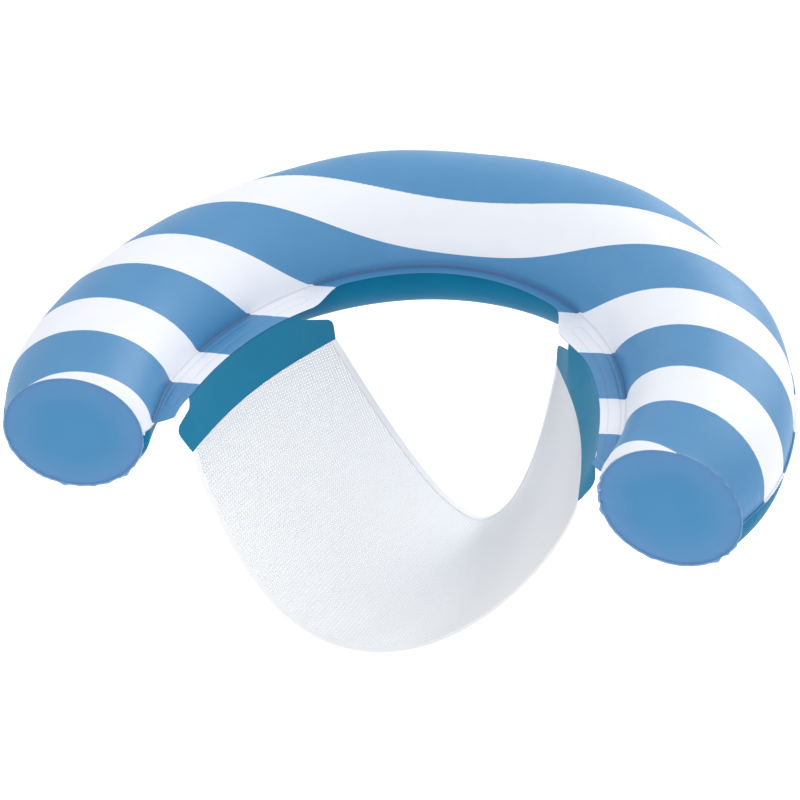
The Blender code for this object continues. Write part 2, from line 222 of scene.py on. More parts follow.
def add_piece(
    name: str,
    bm: BMesh,
    material: Material,
    node: str,
    film: float = 0.0,
    offset: float = 1.0,
) -> Object:
    """Makes a finished piece of the bmesh, which is freed.

    Args:
        name: the piece's name.
        bm: its surface, already in place.
        material: its finish.
        node: the solid that it stands for.
        film: thickness to give an open sheet, or 0 for a closed body.
        offset: 1 grows the thickness outwards, 0 both ways.

    Returns:
        The piece.
    """
    mesh = bpy.data.meshes.new(name)
    bm.to_mesh(mesh)
    bm.free()
    mesh.materials.append(material)
    mesh.shade_smooth()
    mesh.set_sharp_from_angle(angle=SMOOTH_ANGLE)
    piece = bpy.data.objects.new(name, mesh)
    bpy.context.scene.collection.objects.link(piece)
    if film:
        solid = piece.modifiers.new("film", "SOLIDIFY")
        solid.thickness = film
        solid.offset = offset
    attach(piece, CHAIR_BODY)
    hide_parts(node)
    LOG.info("%s: %d faces, for %s", name, len(mesh.polygons), node)
    return piece


# The shape of the tube


@dataclass(frozen=True)
class Ripples:
    """Uneven waves along a line, as sines of these lengths in millimetres."""

    lengths: tuple[float, ...] = (61.0, 37.0, 23.0, 17.0)
    starts: tuple[float, ...] = (0.4, 2.1, 4.0, 5.3)

    def at(self, distance: float) -> float:
        """The height of the waves at a place.

        Args:
            distance: how far along the line it lies, in metres.

        Returns:
            The height, from -1 to 1.
        """
        waves = (
            math.sin(math.tau * distance / (length * MM) + start)
            for length, start in zip(self.lengths, self.starts)
        )
        return sum(waves) / len(self.lengths)


@dataclass(frozen=True)
class Puckers:
    """The puckers that draw the wall of the tube in beside one of its seams.

    The offset keeps the puckers of the upper panel from lying over those of the lower one.
    """

    ripples: Ripples
    depth: float
    reach: float
    pace: float
    offset: float
    seam: float = 0.004

    def wave(self, travelled: float, above: int = 0) -> float:
        """The height of the ripples, -1 to 1, this far along the seam; above as for a panel."""
        return self.ripples.at(travelled * self.pace + self.offset * above)

    def drawn(self, travelled: float, apart: float, above: int) -> float:
        """How far the wall is drawn in.

        Args:
            travelled: how far along the seam.
            apart: how far from the seam.
            above: 1 on the top panel, -1 on the bottom one.

        Returns:
            The distance inwards.
        """
        depth = self.depth * (1 + self.wave(travelled, above))
        return depth * fading(apart, self.reach) * held(apart / self.seam)


@dataclass(frozen=True)
class TubePlan:
    """The U that the tube follows, seen from above, and the sizes of its section.

    A crown bulge is its place round the U in degrees, its height, and its reach in degrees. Round
    the section the bulges start, are full, begin to fade and end at the angles of crown_reach.
    """

    arm_spread: float = 0.430
    back_reach: float = 0.508
    arm_reach: float = 0.374
    sweep: float = math.radians(108)
    end_turn: float = math.radians(8)
    end_turn_start: float = 0.84
    back_radius: float = 0.119
    arm_radius: float = 0.104
    end_radius: float = 0.095
    end_tuck: float = 0.12
    height_share: float = 0.92
    back_flange: float = 0.018
    web_rear_width: float = 0.051
    web_front_width: float = 0.039
    end_flange: float = 0.004
    web_rear_start: float = math.radians(34)
    web_rear_end: float = math.radians(47)
    web_front_start: float = math.radians(101.5)
    web_front_end: float = math.radians(105.5)
    right_slack: float = 0.0075
    right_early: float = math.radians(1.7)
    slack_rear: tuple[float, float] = (math.radians(48), math.radians(62))
    slack_front: tuple[float, float] = (math.radians(97), math.radians(105))
    film: float = 0.0005
    gap: float = 0.0003
    outer_lip: float = 0.003
    lip_ripple: float = 0.0006
    lip_taper: float = 0.8
    web_taper: float = 0.6
    end_dome: float = 0.007
    end_lip: float = 0.002
    end_flare: float = 0.0025
    end_swell: float = 0.0100
    swell_rise: float = 0.018
    swell_fade: tuple[float, float] = (0.035, 0.160)
    least_web: float = 0.35
    crown_bulges: tuple[tuple[float, float, float], ...] = (
        (0, -0.0044, 11),
        (-22, 0.0030, 9),
        (29, 0.0040, 10),
    )
    crown_reach: tuple[float, ...] = tuple(map(math.radians, (75, 118, 142, 178)))
    fold: float = 0.0045
    fold_share: float = 0.6

    def radius(self, angle: float) -> float:
        """Half the width of the tube.

        Args:
            angle: the place round the U.

        Returns:
            The radius there, largest at the back and tucked in at the ends of the arms.
        """
        share = abs(angle) / self.sweep
        tuck = math.exp(-(((1 - share) / self.end_tuck) ** 2))
        full = mix(self.back_radius, self.arm_radius, share**2)
        return full - (self.arm_radius - self.end_radius) * tuck

    @lru_cache(maxsize=None)
    def section(self, angle: float) -> tuple[Vector, Vector]:
        """Where the tube's section lies.

        Args:
            angle: the place round the U.

        Returns:
            The centre of the section, and the level direction out of the U there.
        """
        turn = abs(angle)
        reach = self.back_reach if turn < math.pi / 2 else self.arm_reach
        facing = math.atan2(self.arm_spread * math.cos(turn), reach * math.sin(turn))
        end_share = between(turn / self.sweep, self.end_turn_start, 1)
        facing = mix(facing, -self.end_turn, eased(end_share))
        sign = -1 if angle < 0 else 1
        centre = Vector((sign * self.arm_spread * math.sin(turn), reach * math.cos(turn), 0))
        return centre, Vector((sign * math.cos(facing), math.sin(facing), 0))

    def crown_bulge(self, angle: float, around: float) -> float:
        """How far the upper outer side of the backrest stands out of the plain section.

        Args:
            angle: the place round the U.
            around: the angle round the section.

        Returns:
            The distance outwards; less than 0 is inwards.
        """
        degrees = math.degrees(angle)
        bulges = (height * fading(degrees - at, reach) for at, height, reach in self.crown_bulges)
        start, full, last, end = self.crown_reach
        risen = eased(between(around, start, full))
        return sum(bulges) * risen * (1 - eased(between(around, last, end)))

    def end_direction(self, angle: float) -> Vector:
        """The level direction along the tube, towards the end face of its arm.

        Args:
            angle: the place round the U.

        Returns:
            The direction.
        """
        side = self.section(angle)[1]
        sign = math.copysign(1, angle)
        return Vector((sign * side.y, -sign * side.x, 0))

    def from_end(self, angle: float) -> float:
        """How far this place round the U lies from the end of its arm."""
        return (self.sweep - abs(angle)) * self.pace(self.sweep, 0)

    def flange_width(self, angle: float) -> float:
        """How far the welded inner flange reaches into the U from the tube's wall.

        Args:
            angle: the place round the U.

        Returns:
            The width there: narrow at the back and the ends, wide at the webs.
        """
        turn = abs(angle)
        narrowing = held(between(turn, self.web_rear_end, self.web_front_start))
        web = mix(self.web_rear_width, self.web_front_width, narrowing)
        widening = eased(between(turn, self.web_rear_start, self.web_rear_end))
        width = mix(self.back_flange, web, widening)
        early = self.right_early if angle > 0 else 0.0
        front = eased(between(turn + early, self.web_front_start, self.web_front_end))
        return mix(width, self.end_flange, front) - self.slack(angle)

    def slack(self, angle: float) -> float:
        """How much narrower the right web is than the left one, which the seat pulls harder."""
        rear = eased(between(angle, *self.slack_rear))
        return self.right_slack * rear * (1 - eased(between(angle, *self.slack_front)))

    def swell(self, angle: float) -> float:
        """How far the wall stands out on its inner side near an end of the U.

        Args:
            angle: the place round the U.

        Returns:
            The distance into the U: the web lets go of the wall there, so the air fills it out.
        """
        apart = self.from_end(angle)
        risen = self.end_swell * eased(apart / self.swell_rise)
        return risen * (1 - eased(between(apart, *self.swell_fade)))

    def inside_point(self, angle: float, beyond: float) -> Vector:
        """A point on the seam plane, this far into the U from the tube's wall."""
        centre, side = self.section(angle)
        return centre - side * (self.radius(angle) + beyond)

    def fold_radius(self, angle: float) -> float:
        """The radius in which the film turns from the flange up into the tube's wall."""
        return min(self.fold, self.fold_share * self.flange_width(angle))

    def flange_point(self, angle: float, inset: float) -> Vector:
        """A point on the seam plane, this far back from the inner edge of the flange."""
        return self.inside_point(angle, self.flange_width(angle) - inset)

    @lru_cache(maxsize=None)
    def pace(self, angle: float, beyond: float) -> float:
        """Metres travelled for each radian of angle.

        Args:
            angle: the place round the U.
            beyond: how far into the U from the wall.

        Returns:
            The distance for each radian.
        """
        step = math.radians(0.2)
        ahead = self.inside_point(angle + step, beyond)
        behind = self.inside_point(angle - step, beyond)
        return (ahead - behind).length / (2 * step)


@dataclass(frozen=True)
class SkinGrid:
    """How closely the panels and the end discs are divided.

    The fine turns are the angles round the U between which the columns lie closer, and the flares
    are the columns past each end, as shares of the way out to its rim.
    """

    step: float = 0.0062
    fine_step: float = 0.0024
    fine_turns: tuple[tuple[float, float], ...] = (
        (math.radians(43.5), math.radians(51)),
        (math.radians(94), math.radians(105)),
    )
    end_step: float = 0.0012
    end_growth: float = 0.16
    flares: tuple[float, ...] = (0.25, 0.5, 0.75, 1.0)
    web_rows: int = 26
    fold_rows: int = 5
    wall_rows: int = 108
    lip_shares: tuple[float, ...] = (0.3, 0.65, 1.0)
    arc_steps: int = 24
    disc_sides: int = 384
    disc_shares: tuple[float, ...] = (
        *(0, 0.12, 0.25, 0.38, 0.5, 0.6, 0.69, 0.77),
        *(0.84, 0.89, 0.93, 0.955, 0.975, 0.99, 1),
    )


@dataclass(frozen=True)
class StripePrint:
    """The wavy stripes printed on the flat film before it was welded and filled with air.

    Each edge between two stripes is y = c0 + c1 x + c2 x^2 + c3 x^3 and so on, on the flat film,
    in metres.
    """

    edges: tuple[tuple[float, ...], ...] = (
        (0.6560, 0.0100, -0.0600, 0.0, 0.0),
        (0.5700, 0.0106, -0.0690, 0.0, 0.0),
        (0.4296, 0.0095, -0.0346, -0.2317, -0.8127, 0.3391, 1.9679),
        (0.3498, 0.0018, -0.0429, -0.0770, -0.889),
        (0.2648, 0.0102, -0.2069, -0.1151, 0.0),
        (0.1956, 0.0117, -0.2663, -0.1134, 0.0),
        (0.1102, 0.0208, -0.2907, -0.1766, 0.0),
        (0.0479, 0.0133, -0.3680, -0.1225, 0.0),
        (-0.0437, 0.0510, -0.1381, -0.3825, -1.4033),
    )
    left_pull: float = 0.12
    right_pull: float = 0.28
    last_on_web: float = 7.96

    def phase(self, x: float, y: float) -> float:
        """The place of a point among the stripes.

        Args:
            x: its place across the flat film.
            y: its place along the flat film, towards the back.

        Returns:
            A whole number on each edge between two stripes; even steps are white.
        """
        heights = [sum(c * x**power for power, c in enumerate(edge)) for edge in self.edges]
        found = 0
        while found < len(heights) - 2 and y < heights[found + 1]:
            found += 1
        return found + between(y, heights[found], heights[found + 1])

    def pull(self, angle: float) -> float:
        """How far the web drew the print forwards, for each metre into the U."""
        return mix(self.left_pull, self.right_pull, eased((angle + 1) / 2))


@dataclass(frozen=True)
class WebWeld:
    """The long rounded weld line in the middle of each web."""

    centre_share: float = 0.46
    half_width: float = 0.0085
    rear: float = math.radians(47)
    front: float = math.radians(96.5)
    line: float = 0.0016
    puff: float = 0.0007
    crease: float = 0.0022

    def distance(self, plan: TubePlan, angle: float, beyond: float) -> float:
        """How far a point of the web lies outside the weld line.

        Args:
            plan: the tube.
            angle: the place round the U.
            beyond: how far into the U from the wall.

        Returns:
            The distance; inside the line it is negative.
        """
        turn = abs(angle)
        over = max(self.rear - turn, turn - self.front, 0.0)
        across = beyond - self.centre_share * plan.flange_width(angle)
        return math.hypot(over * plan.pace(turn, beyond), across) - self.half_width

    def rise(self, plan: TubePlan, angle: float, beyond: float, inside_only: bool) -> float:
        """How far the film of the web stands off the seam plane: least on the weld line.

        Args:
            plan: the tube.
            angle: the place round the U.
            beyond: how far into the U from the wall.
            inside_only: whether the film lies flat outside the weld line.

        Returns:
            The distance off the plane.
        """
        apart = self.distance(plan, angle, beyond)
        if inside_only and apart > 0:
            return 0.0
        swell = 1 - fading(apart, self.line)
        if apart <= 0:
            return self.puff * swell
        from_edge = plan.flange_width(angle) - beyond
        near_edge = fading(beyond, 2 * self.line) + fading(from_edge, 2 * self.line)
        return self.puff / 2 * swell * held(1 - near_edge)


@dataclass(frozen=True)
class RimCrimp:
    """The uneven crimps in the weld between the tube and an end disc.

    A rough stretch is its place round the disc in degrees, and how much it adds.
    """

    counts: tuple[int, ...] = (13, 19, 26, 31)
    fine_counts: tuple[int, ...] = (31, 43, 58)
    starts: tuple[float, ...] = (0.3, 1.7, 3.9, 5.0)
    calm: float = 0.22
    left_rough: tuple[tuple[float, float], ...] = ((-42, 0.75), (-110, 0.3), (140, 0.4), (40, 0.2))
    right_rough: tuple[tuple[float, float], ...] = ((-38, 0.6), (176, 0.8), (36, 0.85))
    rough_width: float = 26
    outwards: float = 0.0009
    forwards: float = 0.0012
    fine: float = 0.0011
    pleat: float = 0.0009
    reach: float = 0.016
    pleat_seam: float = 0.12
    pleat_start: float = 0.003
    dimple_from: float = 0.4
    dimple_reach: float = 0.011

    def strength(self, around: float, arm: float) -> float:
        """How strongly the weld is drawn up: calm, but for a few rougher stretches.

        Args:
            around: the angle round the disc, from its outer side.
            arm: the sign of X of the arm.

        Returns:
            The strength, from the calm one to about 1.
        """
        turn = math.degrees(around) if arm > 0 else 180 - math.degrees(around)
        total = self.calm
        for centre, more in self.right_rough if arm > 0 else self.left_rough:
            apart = (turn - centre + 180) % 360 - 180
            total += more * fading(apart, self.rough_width)
        return total

    def wave(self, around: float, arm: float) -> float:
        """The height of the slow crimps that the disc and the tube share, about -1 to 1."""
        return self.strength(around, arm) * self.waves(self.counts, around, arm)

    def fine_wave(self, around: float, arm: float) -> float:
        """The height of the small crimps in the disc's own rim, about 0 to 1."""
        return self.strength(around, arm) * (0.5 + self.waves(self.fine_counts, around, arm) / 2)

    def waves(self, counts: tuple[int, ...], around: float, arm: float) -> float:
        """Adds up sines round the disc.

        Args:
            counts: how many times each one repeats round the disc.
            around: the angle round the disc.
            arm: the sign of X of the arm, which starts them elsewhere on the other one.

        Returns:
            Their sum, about -1 to 1.
        """
        pairs = zip(counts, self.starts)
        sines = (math.sin(count * around + start * (2 + arm)) for count, start in pairs)
        return sum(sines) / math.sqrt(len(counts))


@dataclass(frozen=True)
class ValveSeat:
    """The hollow and the hole in the bottom panel, behind the backrest, that the valve sits in."""

    below_seam: float = 0.0188
    drop: float = 0.0172
    depth: float = 0.0019
    reach: float = 0.017
    hole: float = 0.008
    behind: float = 0.55

    def press(self, along: float, from_seam: float) -> float:
        """How far the flange presses the film in, this far along and down from the outer seam."""
        return self.depth * fading(math.hypot(along, from_seam - self.below_seam), self.reach)

    def pierces(self, point: Vector) -> bool:
        """Whether the film behind the backrest is cut away here, under the valve's flange."""
        return point.y > self.behind and math.hypot(point.x, point.z + self.drop) < self.hole


class AirTube:
    """The U-shaped air tube: two welded panels and the discs in the ends of its arms."""

    def __init__(self, plan: TubePlan, film: Material, back: Material, disc: Material) -> None:
        """Keeps the plan and the finishes, and divides the panels.

        Args:
            plan: the U and its section.
            film: the striped finish of the top panel.
            back: the finish of the bottom panel.
            disc: the finish of the end discs.
        """
        self.plan = plan
        self.film, self.back, self.disc = film, back, disc
        self.grid, self.stripes, self.weld = SkinGrid(), StripePrint(), WebWeld()
        self.crimp, self.seat = RimCrimp(), ValveSeat()
        seam, crease = Ripples(), Ripples(starts=(2.2, 0.7, 5.1, 1.9))
        self.outer_puckers = Puckers(seam, depth=0.0007, reach=0.026, pace=1.4, offset=0.31)
        self.inner_puckers = Puckers(crease, depth=0.0005, reach=0.018, pace=1.0, offset=0.17)
        self.columns = self.stations()
        self.rows = self.zones()

    def stations(self) -> list[tuple[float, float]]:
        """Divides the U, closest at the ends of the web welds and of the arms.

        Returns:
            The (angle, flare) of each column.
        """
        plan, grid, turn, right = self.plan, self.grid, 0.0, []
        while turn < plan.sweep:
            fine = any(low < turn < high for low, high in grid.fine_turns)
            step = grid.fine_step if fine else grid.step
            left = (plan.sweep - turn) * plan.pace(turn, 0)
            turn += min(step, grid.end_step + left * grid.end_growth) / plan.pace(turn, 0)
            right.append(min(turn, plan.sweep))
        turns = [-angle for angle in reversed(right)] + [0.0] + right
        ends = [(plan.sweep, flare) for flare in grid.flares]
        starts = [(-angle, flare) for angle, flare in reversed(ends)]
        return starts + [(angle, 0.0) for angle in turns] + ends

    def zones(self) -> list[tuple[Zone, float]]:
        """Divides a panel from the inner edge of the flange to the outer lip.

        Returns:
            The (zone, share) of each row.
        """
        grid = self.grid
        rows = [(Zone.WEB, row / grid.web_rows) for row in range(grid.web_rows)]
        rows += [(Zone.FOLD, row / grid.fold_rows) for row in range(grid.fold_rows)]
        rows += [(Zone.WALL, row / grid.wall_rows) for row in range(grid.wall_rows + 1)]
        return rows + [(Zone.LIP, share) for share in grid.lip_shares]

    def around(self, angle: float, zone: Zone, share: float) -> float:
        """The angle round the section at which a row lies.

        Args:
            angle: the place round the U.
            zone: the row's zone.
            share: the row's share of it.

        Returns:
            The angle, from 0 at the inner seam to half a turn at the outer one.
        """
        if zone is Zone.LIP:
            return math.pi
        if zone is not Zone.WALL:
            return 0.0
        start = self.plan.fold_radius(angle) / (self.plan.height_share * self.plan.radius(angle))
        return mix(math.asin(start), math.pi, share)

    def beyond(self, angle: float, zone: Zone, share: float) -> float:
        """How far into the U a row of the web or the fold lies from the tube's wall.

        Args:
            angle: the place round the U.
            zone: the row's zone.
            share: the row's share of it.

        Returns:
            The distance.
        """
        fold = self.plan.fold_radius(angle)
        if zone is Zone.WEB:
            return mix(self.plan.flange_width(angle), fold, share)
        return fold * (1 - math.sin(math.pi / 2 * share))

    @lru_cache(maxsize=None)
    def arc(self, around: float) -> float:
        """The length of wall from the crown, for a tube of radius 1.

        Args:
            around: the angle round the section.

        Returns:
            The length from the crown to that angle; outwards is positive.
        """
        steps = self.grid.arc_steps
        start, total = math.pi / 2, 0.0
        for step in range(steps):
            here = mix(start, around, (step + 0.5) / steps)
            total += math.hypot(math.sin(here), self.plan.height_share * math.cos(here))
        return total * (around - start) / steps

    def skin_point(self, column: int, row: int, above: int) -> Vector:
        """Places a corner of a panel.

        Args:
            column: its column, along the U.
            row: its row, from the inner edge to the outer one.
            above: 1 for the top panel, -1 for the bottom one.

        Returns:
            The point.
        """
        plan = self.plan
        angle, flare = self.columns[column]
        zone, share = self.rows[row]
        around = self.around(angle, zone, share)
        centre, side = plan.section(angle)
        wave = self.crimp.wave(above * (math.pi - around), math.copysign(1, angle)) * flare
        base = plan.radius(angle) + flare * plan.end_lip + wave * self.crimp.outwards
        ahead = flare * plan.end_flare + wave * self.crimp.forwards
        start = centre + plan.end_direction(angle) * ahead + Vector((0, 0, above * plan.gap / 2))
        if zone is Zone.LIP:
            ripple = self.outer_puckers.wave(angle * plan.arm_spread) * plan.lip_ripple * share
            reach = base + plan.outer_lip * share * (1 - plan.lip_taper * flare)
            return start + side * reach + Vector((0, 0, ripple))
        if zone is Zone.WALL:
            radius = self.wall_radius(column, around, base, above)
            height = Vector((0, 0, above * plan.height_share * radius * math.sin(around)))
            return start - side * radius * math.cos(around) + height
        beyond = self.beyond(angle, zone, share)
        beyond *= 1 - plan.web_taper * flare
        if zone is Zone.FOLD:
            rise = plan.fold_radius(angle) * (1 - math.cos(math.pi / 2 * share))
        else:
            rise = 0.0 if flare else self.weld.rise(plan, angle, beyond, above < 0)
        swell, width = plan.swell(angle), plan.flange_width(angle)
        left = max(width - swell, plan.least_web * width) / width
        return start - side * (base + swell + beyond * left) + Vector((0, 0, above * rise))

    def wall_radius(self, column: int, around: float, base: float, above: int) -> float:
        """The radius of the wall, with its swells, puckers and pleats.

        Args:
            column: the column, along the U.
            around: the angle round the section.
            base: the plain radius.
            above: 1 for the top panel, -1 for the bottom one.

        Returns:
            The radius there.
        """
        plan, angle = self.plan, self.columns[column][0]
        from_seam, travelled = (math.pi - around) * base, angle * plan.arm_spread
        radius = base - self.pleat(column, around, above)
        radius += plan.swell(angle) * max(math.cos(around), 0.0) ** 2
        if above > 0:
            radius += plan.crown_bulge(angle, around)
        else:
            radius -= self.seat.press(angle * plan.pace(0.0, -2 * base), from_seam)
        drawn = self.outer_puckers.drawn(travelled, from_seam, above)
        drawn += self.inner_puckers.drawn(travelled, around * base, above)
        return radius - drawn

    def pleat(self, column: int, around: float, above: int) -> float:
        """How far the wall is drawn in by the pleats that run back from the crimped end.

        Args:
            column: the column, along the U.
            around: the angle round the section.
            above: 1 for the top panel, -1 for the bottom one.

        Returns:
            The distance inwards; none past the end, where the crimps themselves are.
        """
        angle, flare = self.columns[column]
        if flare:
            return 0.0
        crimp, apart = self.crimp, self.plan.from_end(angle)
        wave = crimp.wave(above * (math.pi - around), math.copysign(1, angle))
        seam = held(math.sin(around) / crimp.pleat_seam)
        depth = crimp.pleat * (0.5 - wave / 2) * fading(apart, crimp.reach)
        return depth * seam * held(apart / crimp.pleat_start)

    def stripe_place(self, column: int, row: int) -> float:
        """Where a corner of the top panel lies among the stripes.

        Args:
            column: its column, along the U.
            row: its row, from the inner edge to the outer one.

        Returns:
            The phase of the print; the right web ends in its last blue stripe.
        """
        phase = self.stripes.phase(*self.flat_place(column, row))
        angle, zone = self.columns[column][0], self.rows[row][0]
        if angle > 0 and zone is Zone.WEB:
            return min(phase, self.stripes.last_on_web)
        return phase

    def flat_place(self, column: int, row: int) -> tuple[float, float]:
        """Where a corner of the top panel lay on the flat film.

        Args:
            column: its column, along the U.
            row: its row, from the inner edge to the outer one.

        Returns:
            Its x and y on the flat film.
        """
        angle = self.columns[column][0]
        zone, share = self.rows[row]
        plan = self.plan
        centre, side = plan.section(angle)
        out = self.arc(self.around(angle, zone, share)) * plan.radius(angle)
        if zone is Zone.LIP:
            out += plan.outer_lip * share
        if zone in (Zone.WALL, Zone.LIP):
            place = centre + side * out
            return place.x, place.y
        beyond = self.beyond(angle, zone, share)
        place = centre + side * (out - beyond)
        return place.x, place.y + self.stripes.pull(angle) * beyond

    def weld_place(self, column: int, row: int) -> tuple[float, float]:
        """Where a corner of a panel lies beside its welds.

        Args:
            column: its column, along the U.
            row: its row, from the inner edge to the outer one.

        Returns:
            How far it lies from the nearest weld line, and from the crease between the web and
            the wall. The second counts three times on the web, whose side of the shade is short.
        """
        angle = self.columns[column][0]
        zone, share = self.rows[row]
        radius = self.plan.radius(angle)
        if zone is Zone.LIP:
            return self.plan.outer_lip * share, radius
        if zone is Zone.WALL:
            around = self.around(angle, zone, share)
            return (math.pi - around) * radius, around * radius + self.weld.crease
        beyond = self.beyond(angle, zone, share)
        past_crease = beyond - self.weld.crease
        apart = abs(self.weld.distance(self.plan, angle, beyond))
        return apart, max(-past_crease, 3 * past_crease)

    def build_panel(self, name: str, above: int, material: Material) -> None:
        """Builds one half of the skin and gives it its thickness.

        Args:
            name: the solid that it stands for.
            above: 1 for the top half, -1 for the bottom half.
            material: its finish.
        """
        bm, corners = sheet_grid(
            len(self.columns) - 1,
            len(self.rows) - 1,
            lambda column, row: self.skin_point(column, row, above),
        )
        stripe_layer = bm.verts.layers.float.new(STRIPE_ATTRIBUTE)
        weld_layer = bm.verts.layers.float.new(WELD_ATTRIBUTE)
        crease_layer = bm.verts.layers.float.new(CREASE_ATTRIBUTE)
        for vert, corner in zip(bm.verts, corners):
            vert[stripe_layer] = self.stripe_place(*corner)
            vert[weld_layer], vert[crease_layer] = self.weld_place(*corner)
        if above < 0:
            bmesh.ops.reverse_faces(bm, faces=bm.faces[:])
            pierced = [face for face in bm.faces if self.seat.pierces(face.calc_center_median())]
            bmesh.ops.delete(bm, geom=pierced, context="FACES")
        add_piece(name + "_film", bm, material, name, film=self.plan.film)

    def disc_point(self, point: Vector, side: Side) -> Vector:
        """Crimps a point of an end disc and puts it in place.

        Args:
            point: the point on the plain disc, turned round the Z axis.
            side: the arm.

        Returns:
            The point in the end of that arm.
        """
        plan, crimp, angle = self.plan, self.crimp, side.value * self.plan.sweep
        centre, out = plan.section(angle)
        radius, across = plan.radius(angle), math.hypot(point.x, point.y)
        around = math.atan2(point.y, point.x)
        wave, fine = crimp.wave(around, side.value), crimp.fine_wave(around, side.value)
        lip = held((across - radius) / plan.end_lip)
        dimple = crimp.pleat * min(wave - crimp.dimple_from, 0.0)
        dimple *= fading(radius - across, crimp.dimple_reach)
        grown = lip * (crimp.outwards * wave + crimp.fine * fine)
        forward = point.z + lip * (crimp.forwards * wave + crimp.fine * fine) + dimple * (1 - lip)
        share = 1 + grown / max(across, radius)
        rise = Vector((0, 0, point.y * share * plan.height_share))
        return centre + out * point.x * share + rise + plan.end_direction(angle) * forward

    def build_disc(self, side: Side) -> None:
        """Builds the domed, crimped disc in the end of one arm.

        Args:
            side: the arm.
        """
        plan, grid, angle = self.plan, self.grid, side.value * self.plan.sweep
        radius = plan.radius(angle)
        rings = [
            (radius * share, plan.gap + plan.end_dome * (1 - share**2))
            for share in grid.disc_shares
        ]
        rings += [
            (radius + plan.end_lip * share, plan.gap + plan.end_flare * share)
            for share in grid.lip_shares
        ]
        bm = turned(rings, grid.disc_sides)
        rim_layer = bm.verts.layers.float.new(RIM_ATTRIBUTE)
        for vert in bm.verts:
            vert[rim_layer] = radius + plan.end_lip - math.hypot(vert.co.x, vert.co.y)
            vert.co = self.disc_point(vert.co.copy(), side)
        bm.normal_update()
        if sum(face.normal.dot(plan.end_direction(angle)) for face in bm.faces) < 0:
            bmesh.ops.reverse_faces(bm, faces=bm.faces[:])
        name = f"{side.name.lower()}_end_disc"
        add_piece(name + "_film", bm, self.disc, name, film=plan.film)

    def build(self) -> None:
        """Builds the two panels and the two discs."""
        self.build_panel("tube_top_panel", 1, self.film)
        self.build_panel("tube_bottom_panel", -1, self.back)
        for side in Side:
            self.build_disc(side)


# The seat


@dataclass(frozen=True)
class HeaderCut:
    """Sizes of the strip that is welded under a web and carries one edge of the mesh.

    A top is the height of the strip just past an end of its weld, and a tip its height at the very
    end of the tongue, both as shares of the height at the weld.
    """

    film: float = 0.0007
    tab: float = 0.016
    weld_front: float = math.radians(91.6)
    weld_rear: float = math.radians(51)
    front_tongue: float = 0.0355
    front_inset: float = 0.0112
    rear_tongue: float = 0.059
    rear_inset: float = 0.0315
    bow: float = 0.018
    drop: float = 0.066
    rear_dip: float = 0.012
    front_top: float = 0.80
    rear_top: float = 0.86
    front_tip: float = 0.58
    rear_tip: float = 0.46
    front_notch: float = 0.0065
    rear_notch: float = 0.005
    rounding: float = 0.16
    rounding_length: float = 0.010
    curl: float = 1.6
    front_flop: tuple[float, float, float] = (0.0100, -0.0050, -0.0070)
    steps: int = 150
    notch_step: float = 0.0022
    notch_steps: int = 8
    tip_step: float = 0.0028
    tip_steps: int = 5
    least_step: float = 0.0007
    rise_rows: int = 26
    tab_rows: int = 5
    halvings: int = 30


